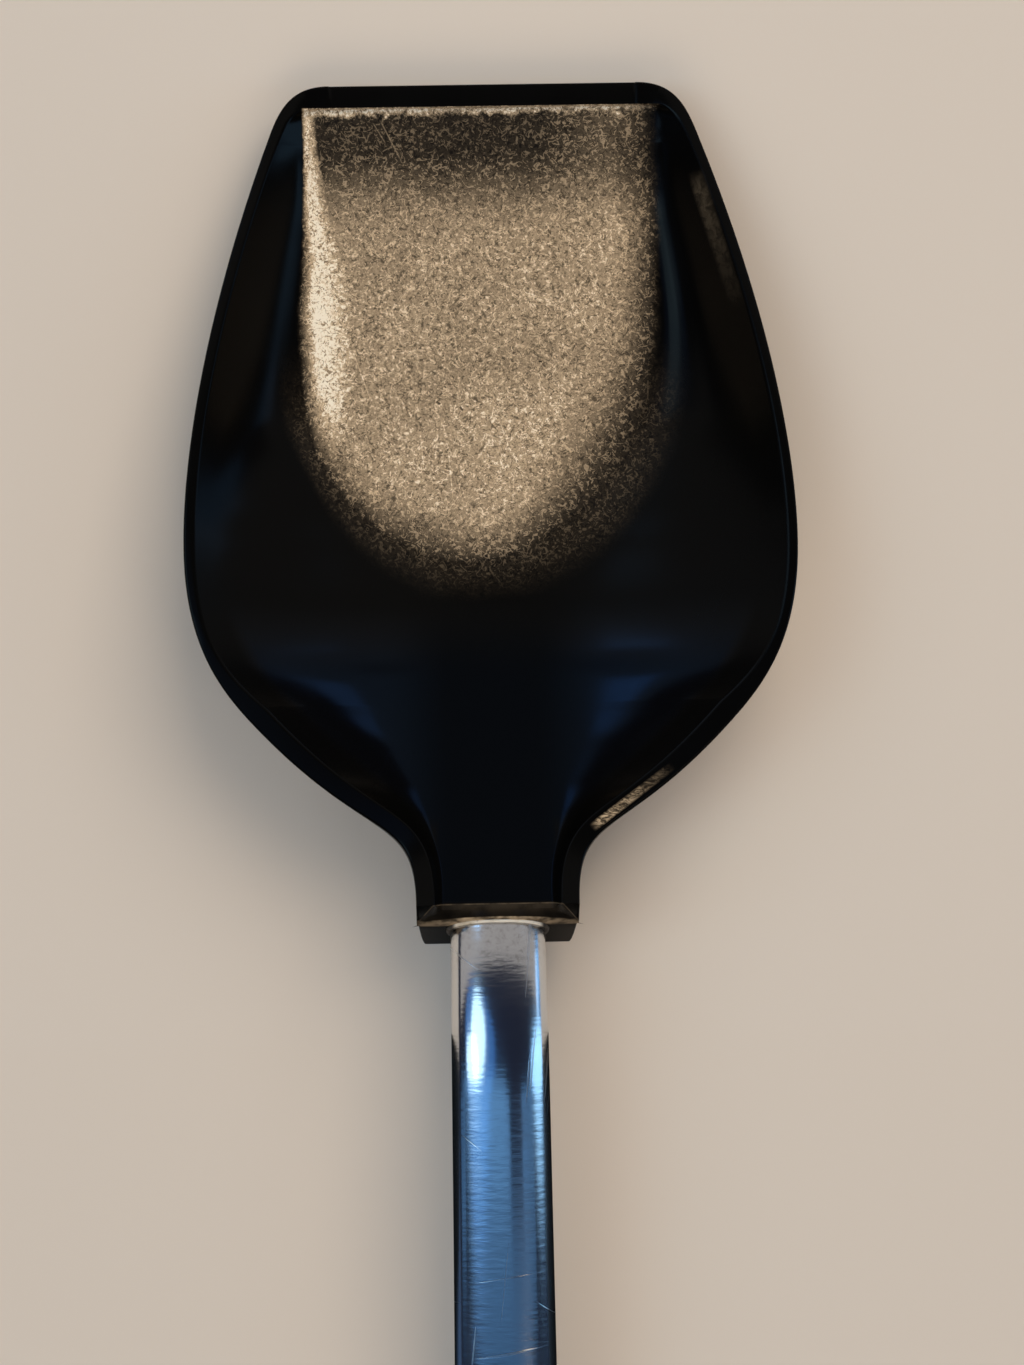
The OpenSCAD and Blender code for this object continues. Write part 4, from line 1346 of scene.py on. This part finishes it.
@dataclass
class HandleTube:
    """The oval steel tube: drawn-down tang, rounded shoulder, bend and a long widening run.

    Lengths are in millimetres along the handle's middle line from the collar's mouth.
    """

    line: HandleLine
    tube_w: float = 12.2
    tube_h: float = 8.0
    tube_end_w: float = 16.0
    cap_len: float = 18.0
    tang_w: float = 9.0
    tang_h: float = 5.0
    tang_len: float = 18.0
    shoulder_len: float = 2.8
    shoulder_out: float = 0.8
    mouth_gap: float = 0.5
    tang_gap: float = 0.12
    end_gap: float = 0.3
    oval_power: float = 2.25
    tang_power: float = 4.0
    widen_power: float = 1.3
    pin_forward: float = 7.0
    pin_d: float = 2.5
    rings: int = 420
    sides: int = 112
    tang_share: float = 0.04
    edge_round: float = 0.16
    edge_deg: float = 60.0
    crease_deg: float = 40.0

    @property
    def length(self) -> float:
        """Where the tube ends."""
        return self.line.handle_len - self.cap_len

    def half_at(self, s: float) -> Pair:
        """Half the tube's width and height on its run."""
        share = clamp(s / self.length) ** self.widen_power
        return mix(self.tube_w, self.tube_end_w, share) / 2.0, self.tube_h / 2.0

    def rule(self, finish: bpy.types.Material) -> Rule:
        """Builds the tree that bends an upright cylinder into the tube."""
        line = self.line
        lengths = {
            "Mouth Y": line.mouth_y, "Mouth Z": line.mouth_z, "Bend Radius": line.bend_r,
            "Bend Length": line.bend_len, "Run Radius": line.run_r, "Run Length": line.run_len,
            "Tube Length": self.length, "Tube Width": self.tube_w, "Tube End Width": self.tube_end_w,
            "Tube Height": self.tube_h, "Tang Width": self.tang_w, "Tang Height": self.tang_h,
            "Tang Length": self.tang_len, "Shoulder Length": self.shoulder_len,
            "Shoulder Out": self.shoulder_out,
        }
        r = Rule("tube_along_its_line", lengths, {
            "Tilt": line.tilt, "Droop": line.droop, "Oval Power": self.oval_power,
            "Tang Power": self.tang_power, "Widen Power": self.widen_power,
        })
        counts = {"Vertices": self.sides, "Side Segments": self.rings, "Radius": 1.0, "Depth": 1.0}
        stock = r.node("GeometryNodeMeshCylinder", counts, fill_type="NGON").outputs["Mesh"]
        c, n, height = r.split(r.node("GeometryNodeInputPosition").outputs[0])
        t = height + 0.5
        root = r.term("Shoulder Out") - "Shoulder Length"
        tang = (t / self.tang_share).at_most(1.0)
        run = ((t - self.tang_share) / (1.0 - self.tang_share)).at_least(0.0)
        tang_end = r.term("Tang Length") * -1.0
        s = tang_end + (root - tang_end) * tang + (r.term("Tube Length") - root) * (run ** 2.0)
        back = 1.0 - ((s - root) / "Shoulder Length").clamped()
        grown = (1.0 - back * back).apply("SQRT")
        wide = r.term("Tube Width").toward("Tube End Width", (s / "Tube Length").clamped() ** "Widen Power")
        high = r.term("Tang Height").toward("Tube Height", grown)
        half = (r.term("Tang Width").toward(wide, grown) * 0.5, high * 0.5)
        px, pz = r.oval(c, n, half, r.term("Tang Power").toward("Oval Power", grown))
        straight = s.at_most(0.0)
        bent = r.term("Tilt") * (1.0 - (s / "Bend Length").clamped())
        drooped = r.term("Droop") * ((s - "Bend Length") / "Run Length").clamped()
        heading = bent - drooped
        tilt_sin, tilt_cos = r.math("SINE", "Tilt"), r.math("COSINE", "Tilt")
        y = r.term("Mouth Y") - straight * tilt_cos - (tilt_sin - bent.apply("SINE")) * "Bend Radius"
        y = y - drooped.apply("SINE") * "Run Radius" + pz * heading.apply("SINE")
        z = r.term("Mouth Z") + straight * tilt_sin + (bent.apply("COSINE") - tilt_cos) * "Bend Radius"
        z = z - (1.0 - drooped.apply("COSINE")) * "Run Radius" + pz * heading.apply("COSINE")
        r.close(r.moved(stock, Position=r.vector(px, y, z)), finish)
        return r

    def pin_place(self) -> Pair:
        """The y and z of the pin through the tube and the cap's spigot."""
        return self.line.at(self.length - self.pin_forward)

    def build(self, finish: bpy.types.Material) -> bpy.types.Object:
        """Builds the finished tube with its rounded far edge and pin holes."""
        made = self.rule(finish).grow("steel_tube")
        limit = math.radians(self.edge_deg)
        modify(made, "BEVEL", limit_method="ANGLE", angle_limit=limit, width=self.edge_round * MM, segments=3)
        apply_modifiers(made)
        outward(made)
        cut_with(made, cross_hole(self.pin_d, self.tube_end_w, self.pin_place()))
        smooth_shade(made, self.crease_deg)
        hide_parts("handle_tube")
        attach(made, BODY)
        return made


@dataclass
class MouthBead:
    """The bead of sealant in the groove between the collar's mouth and the tube's shoulder."""

    line: HandleLine
    path_w: float = 12.56
    path_h: float = 8.44
    thickness: float = 0.62
    out: float = 0.02
    raggedness: float = 0.11
    oval_power: float = 2.25
    lump_scale: float = 750.0
    lump_detail: float = 3.0
    lump_middle: float = 0.55
    points: int = 260
    sides: int = 14
    crease_deg: float = 60.0

    def rule(self, finish: bpy.types.Material) -> Rule:
        """Builds the tree that sweeps a round bead along the mouth's oval."""
        line = self.line
        lengths = {
            "Path Width": self.path_w, "Path Height": self.path_h, "Thickness": self.thickness,
            "Raggedness": self.raggedness, "Out": self.out, "Mouth Y": line.mouth_y, "Mouth Z": line.mouth_z,
        }
        r = Rule("bead_round_the_mouth", lengths, {"Tilt": line.tilt, "Oval Power": self.oval_power})
        circle = "GeometryNodeCurvePrimitiveCircle"
        way = r.node(circle, {"Resolution": self.points, "Radius": 1.0}).outputs["Curve"]
        c, n, _ = r.split(r.node("GeometryNodeInputPosition").outputs[0])
        px, pz = r.oval(c, n, (r.term("Path Width") * 0.5, r.term("Path Height") * 0.5), r.term("Oval Power"))
        lean_sin, lean_cos = r.math("SINE", "Tilt"), r.math("COSINE", "Tilt")
        y = r.term("Mouth Y") + pz * lean_sin - r.term("Out") * lean_cos
        z = r.term("Mouth Z") + pz * lean_cos + r.term("Out") * lean_sin
        path = r.moved(way, Position=r.vector(px, y, z))
        bead = {"Resolution": self.sides, "Radius": r.term("Thickness") * 0.5}
        profile = r.node(circle, bead).outputs["Curve"]
        swept = r.node("GeometryNodeCurveToMesh", {"Curve": path, "Profile Curve": profile}).outputs["Mesh"]
        shape = {"Scale": self.lump_scale, "Detail": self.lump_detail}
        lumps = Term(r, r.node("ShaderNodeTexNoise", shape, noise_dimensions="3D").outputs["Fac"])
        swell = (lumps - self.lump_middle) * "Raggedness"
        normal = r.node("GeometryNodeInputNormal").outputs[0]
        out = r.node("ShaderNodeVectorMath", {0: normal, "Scale": swell}, operation="SCALE").outputs[0]
        r.close(r.moved(swept, Offset=out), finish)
        return r

    def build(self, finish: bpy.types.Material) -> bpy.types.Object:
        """Builds the finished bead."""
        made = self.rule(finish).grow("sealant_bead")
        outward(made)
        smooth_shade(made, self.crease_deg)
        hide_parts("mouth_seal")
        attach(made, BODY)
        return made


@dataclass
class EndCap:
    """The nylon cap on the tube's end, with its spigot, foot and hanging hole. Lengths in millimetres."""

    line: HandleLine
    tube: HandleTube
    round_len: float = 7.5
    round_power: float = 5.0
    spigot_len: float = 14.0
    spigot_under: float = 0.92
    spigot_lead: Pair = (0.3, 0.4)
    straight_start: float = 0.7
    straight_rings: int = 26
    round_rings: int = 34
    tip_share: float = 0.02
    hole_d: float = 6.0
    hole_forward: float = 2.5
    ring_w: float = 1.6
    ring_depth: float = 1.0
    ring_round: Pair = (0.2, 0.06)
    ring_flare: Pair = (0.12, 2.5)
    hole_round: float = 0.35
    hole_sides: int = 96
    points: int = 128
    edge_round: float = 0.16
    edge_rings: int = 6
    seam_gap: float = 0.04
    crease_deg: float = 40.0

    def half_at(self, s: float) -> Pair:
        """Half the cap's width and height at s along the handle's line."""
        u = max(0.0, (s - self.line.handle_len) / self.round_len)
        across, up = (math.sqrt(max(1.0 - u**power, 0.0)) for power in (2.0, self.round_power))
        return self.tube.tube_end_w / 2.0 * across, self.tube.tube_h / 2.0 * up

    def quarter_turn(self) -> list[Pair]:
        """What is left of a rounding's radius across and along at each step of a quarter turn."""
        return [(1.0 - math.sin(a), 1.0 - math.cos(a)) for a in np.linspace(0.0, QUARTER, self.edge_rings)]

    def body(self) -> bpy.types.Object:
        """The cap's solid before its hole: spigot, straight part and rounded end, flat at its foot."""
        start, full = self.tube.length, self.line.handle_len
        half_w, half_h = self.tube.half_at(start)
        spigot = (half_w - self.spigot_under, half_h - self.spigot_under)
        lead, lead_len = self.spigot_lead
        stations = [
            (start - self.spigot_len, (spigot[0] - lead, spigot[1] - lead)),
            (start - self.spigot_len + lead_len, spigot), (start + self.seam_gap, spigot)]
        for across, along in self.quarter_turn():
            shrink, s = self.edge_round * across, start + self.seam_gap + self.edge_round * along
            stations.append((s, (half_w - shrink, half_h - shrink)))
        turns = np.linspace(0.0, QUARTER, self.round_rings)[1:-1]
        rounded = [full + self.round_len * math.sin(a) for a in turns]
        for s in [*np.linspace(start + self.straight_start, full, self.straight_rings), *rounded]:
            stations.append((s, self.half_at(s)))
        rings = [self.line.ring(s, half, self.tube.oval_power, self.points) for s, half in stations]
        tip = np.array([0.0, *self.line.at(full + self.round_len)])
        rings.append(tip + (rings[-1] - rings[-1].mean(0)) * self.tip_share)
        points, faces = loft(rings)
        points[:, 2] = np.maximum(points[:, 2], 0.0)
        made = new_mesh_object("end_cap_with_hole", points, faces)
        outward(made)
        return made

    def hole(self) -> bpy.types.Object:
        """The solid of the hanging hole, flared at its edges, with the sunk ring round its top."""
        y, z = self.line.at(self.line.handle_len - self.hole_forward)
        ring_z = z + self.tube.tube_h / 2.0 - self.ring_depth
        r, bend, wide = self.hole_d / 2.0, self.hole_round, self.hole_d / 2.0 + self.ring_w
        outer, inner = self.ring_round
        profile = [(r + bend, -HOLE_EXTRA)]
        profile += [(r + bend * across, bend * along) for across, along in self.quarter_turn()]
        profile += [(r + bend * along, ring_z - bend * across) for across, along in self.quarter_turn()]
        profile += [(wide - outer, ring_z), (wide - inner, ring_z + inner), (wide, ring_z + outer),
                    (wide + self.ring_flare[0], ring_z + self.ring_flare[1])]
        return revolved("hanging_hole", profile, Matrix.Translation((0.0, y, 0.0)), self.hole_sides)

    def build(self, finish: bpy.types.Material) -> bpy.types.Object:
        """Builds the finished cap."""
        made = self.body()
        cut_with(made, self.hole())
        smooth_shade(made, self.crease_deg)
        dress(made, finish)
        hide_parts("end_cap")
        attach(made, BODY)
        return made


@dataclass
class Dowel:
    """A ground steel dowel across the part, with domed ends. Lengths in millimetres."""

    name: str
    node: str
    place: Pair
    length: float
    d: float = 2.5
    dome: float = 0.12
    chamfer: float = 0.18
    chamfer_step: Pair = (0.3, 0.35)
    middle_share: float = 0.04
    dome_rings: int = 10
    crease_deg: float = 40.0

    def build(self, finish: bpy.types.Material) -> bpy.types.Object:
        """Builds the finished dowel."""
        r, half, edge = self.d / 2.0, self.length / 2.0, self.length / 2.0 - self.dome
        across, along = (step * self.chamfer for step in self.chamfer_step)
        shares = np.linspace(self.middle_share, 1.0, self.dome_rings)
        end = [(share * (r - self.chamfer), half - self.dome * share * share) for share in shares]
        end += [(r - across, edge - along), (r, edge - self.chamfer)]
        profile = [(a, -h) for a, h in end] + [(a, h) for a, h in reversed(end)]
        made = revolved(self.name, profile, cross_axis(*self.place))
        smooth_shade(made, self.crease_deg)
        dress(made, finish)
        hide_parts(self.node)
        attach(made, BODY)
        return made


@dataclass(frozen=True)
class Softbox:
    """One soft lamp, named by the direction that it is seen in from the bowl.

    The direction is in degrees from straight up, towards +X and towards +Y, and the spans are the
    angles that the lamp fills across that direction. The glow is the lamp's radiance, where 1 is a
    white surface at the studio's plain level. A lamp that isn't mirrored lights the part without a
    highlight of its own.
    """

    name: str
    toward: Pair
    span: Pair
    glow: float
    colour: tuple[float, float, float]
    mirrored: bool = True
    oval: bool = False
    distance: float = 1300.0
    aim: tuple[float, float, float] = (0.0, -25.0, 8.0)

    def hang(self, size: Pair, place: Matrix) -> None:
        """Adds the lamp to the scene.

        Args:
            size: The lamp's width and height in metres.
            place: Where it hangs; it shines along the matrix's -Z.
        """
        wide, high = size
        power = self.glow * math.pi * wide * high * (math.pi / 4.0 if self.oval else 1.0)
        lamp = configured(
            bpy.data.lights.new(self.name, "AREA"), shape="ELLIPSE" if self.oval else "RECTANGLE",
            size=wide, size_y=high, energy=power, color=self.colour)
        linked(self.name, lamp, matrix_world=place, visible_camera=False, visible_glossy=self.mirrored)

    def build(self) -> None:
        """Works out where the lamp hangs, turned to the bowl, and adds it."""
        lean = [math.tan(math.radians(a)) for a in self.toward]
        away = Vector((*lean, 1.0)).normalized()
        up = (Vector((0.0, 1.0, 0.0)) - away * away.y).normalized()
        turn = Matrix((up.cross(away), up, away)).transposed().to_4x4()
        reach = self.distance * MM
        size = tuple(2.0 * reach * math.tan(math.radians(a / 2.0)) for a in self.span)
        self.hang(size, Matrix.Translation(Vector(self.aim) * MM + away * reach) @ turn)


@dataclass(frozen=True)
class CeilingPanel(Softbox):
    """One soft level lamp overhead, at its distance over the aim.

    Its two pairs are the edges of what it fills, in degrees from straight up, along X and along Y.
    """

    aim: tuple[float, float, float] = (0.0, -80.0, 0.0)

    def build(self) -> None:
        """Works out where the panel hangs and adds it."""
        reach = self.distance * MM
        edges = [[math.tan(math.radians(a)) * reach for a in pair] for pair in (self.toward, self.span)]
        middle = Vector((*(sum(pair) / 2.0 for pair in edges), reach))
        size = tuple(pair[1] - pair[0] for pair in edges)
        self.hang(size, Matrix.Translation(Vector(self.aim) * MM + middle))


@dataclass
class Studio:
    """The camera, the lamps, the world and the pale floor. Lengths in millimetres."""

    camera_at: tuple[float, float, float] = (-6.35, -41.29, 455.48)
    camera_turn: tuple[float, float, float] = (0.168, -1.127, -1.015)
    focal_px: float = 3468.4
    frame_w: float = 1024.0
    sensor: float = 36.0
    nearest: float = 10.0
    floor_r: float = 3000.0
    floor_down: float = 0.02
    floor_rough: float = 0.8
    flag_corners: tuple[Pair, ...] = ((7.0, -86.0), (2800.0, -150.0), (2800.0, -1200.0), (7.0, -330.0))
    flag_z: float = 0.05
    flag_rough: float = 0.9
    dusk_sides: tuple[Pair, Pair] = ((-450.0, -250.0), (-15.0, -60.0))
    dusk_start: Pair = (-118.0, -134.0)
    lamps: tuple[Softbox, ...] = (
        Softbox("warm_key", (24.0, 40.0), (38.0, 38.0), 3.75, (1.0, 0.86, 0.70), False),
        Softbox("back_fill", (-8.0, -46.0), (36.0, 26.0), 2.4, (1.0, 0.83, 0.65), False),
        CeilingPanel("sky_fill", (-60.0, 60.0), (-60.0, 60.0), 0.20, (1.0, 0.93, 0.82), False, False, 1700.0),
        Softbox("crease_light", (30.0, -31.0), (16.0, 8.0), 3.2, (1.0, 0.86, 0.68)),
        Softbox("left_window", (-31.0, 4.9), (28.0, 21.0), 1.75, (0.62, 0.92, 1.0), True, True),
        Softbox("left_window_foot", (-44.0, -2.1), (30.0, 11.2), 1.75, (0.66, 0.93, 1.0), True, True, 1280.0),
        Softbox("left_surround", (-33.0, 2.0), (58.0, 30.0), 0.45, (0.08, 0.34, 1.0), True, True, 1350.0),
        Softbox("right_window", (70.0, -10.6), (44.0, 13.4), 1.7, (0.42, 0.76, 1.0), True, True),
        Softbox("right_surround", (70.0, -10.1), (48.0, 14.8), 0.55, (0.08, 0.34, 1.0), True, True, 1350.0),
        Softbox("left_low_glow", (-75.0, -38.2), (17.0, 4.5), 0.3, (0.18, 0.50, 1.0)),
        Softbox("left_wall_glow", (81.0, 46.9), (16.0, 10.0), 1.25, (0.25, 0.56, 1.0)),
        Softbox("left_back_glow", (51.0, 51.0), (14.0, 10.0), 0.9, (0.30, 0.60, 1.0)),
        Softbox("right_back_glow", (-37.0, 43.0), (16.0, 10.0), 1.8, (0.30, 0.60, 1.0)),
        CeilingPanel("beige_ceiling", (-80.0, 80.0), (25.8, 60.0), 0.40, (1.0, 0.93, 0.86)),
        CeilingPanel("blue_tongue", (-40.0, 4.0), (-6.5, -1.5), 0.42, (0.20, 0.52, 1.0)),
        CeilingPanel("blue_near", (-68.0, 8.0), (-10.0, -6.5), 0.66, (0.20, 0.52, 1.0)),
        CeilingPanel("blue_near_right", (26.0, 50.0), (-10.0, -6.5), 0.56, (0.18, 0.50, 1.0)),
        CeilingPanel("blue_far", (-78.0, 50.0), (-18.0, -10.0), 0.24, (0.18, 0.50, 1.0)),
    )

    def camera(self) -> None:
        """Sets the camera at the viewing angle of the photograph."""
        lens = self.focal_px / self.frame_w * self.sensor
        seen = configured(
            bpy.data.cameras.new("camera"), sensor_fit="HORIZONTAL", sensor_width=self.sensor, lens=lens,
            clip_start=self.nearest * MM)
        turn, at = [math.radians(a) for a in self.camera_turn], Vector(self.camera_at) * MM
        bpy.context.scene.camera = linked("camera", seen, location=at, rotation_euler=turn)

    def floor(self) -> None:
        """Lays the plain pale floor under the part."""
        corners = np.array([(-1, -1, 0), (1, -1, 0), (1, 1, 0), (-1, 1, 0)]) * self.floor_r
        made = new_mesh_object("floor", corners, [(0, 1, 2, 3)])
        s = Shader("pale_floor")
        s.set(Base_Color=Tone.CLOTH, Roughness=self.floor_rough)
        dress(made, s.material)
        made.location.z = -self.floor_down * MM

    def flags(self) -> None:
        """Lays dark cards beside the handle that only mirrors see, so that the steel's flanks stay dark.

        They are black, except that the left one turns deep blue close beside the handle further back.
        """
        for side, name in ((-1.0, "left_flag"), (1.0, "right_flag")):
            corners = [(side * x, y, self.flag_z) for x, y in self.flag_corners]
            made = new_mesh_object(name, np.array(corners), [(0, 1, 2, 3)])
            s = Shader(name)
            x, y, _ = s.axes
            dusky = x.fade(*self.dusk_sides[0]) * x.fade(*self.dusk_sides[1]) * y.fade(*self.dusk_start)
            s.set(Base_Color=s.blend(dusky, Tone.SOOT, Tone.DUSK), Roughness=self.flag_rough)
            dress(made, s.material)
            configured(made, visible_camera=False, visible_diffuse=False, visible_shadow=False)

    def build(self) -> None:
        """Builds the whole studio."""
        self.camera()
        self.floor()
        self.flags()
        for lamp in self.lamps:
            lamp.build()
        world = configured(bpy.data.worlds.new("dim_room"), use_nodes=True)
        world.node_tree.nodes["Background"].inputs["Color"].default_value = Tone.DIM_ROOM.value
        bpy.context.scene.world = world
        bpy.context.scene.view_settings.view_transform = "Standard"


def main() -> None:
    """Builds the studio and every piece of the spoon, and reports each piece."""
    logging.basicConfig(level=logging.INFO, format="%(message)s")
    Studio().build()
    steel, pin_steel = PolishedSteel().build(), GroundSteel().build()
    line = HandleLine()
    tube = HandleTube(line)
    head = ScoopHead(line)
    cap_half_w = tube.half_at(tube.length - tube.pin_forward)[0]
    neck_pin_len, cap_pin_len = 16.625, 2.0 * cap_half_w - 0.5
    pieces = [
        head.build(tube, MouldedNylon().build()),
        tube.build(steel),
        MouthBead(line).build(CreamSealant().build()),
        EndCap(line, tube).build(SatinNylon().build()),
        Dowel("neck_dowel", "head_pin", head.pin_place(), neck_pin_len).build(pin_steel),
        Dowel("cap_dowel", "cap_pin", tube.pin_place(), cap_pin_len).build(pin_steel),
    ]
    for piece in pieces:
        LOG.info("%s: %d faces", piece.name, len(piece.data.polygons))


if __name__ == "__main__":
    main()
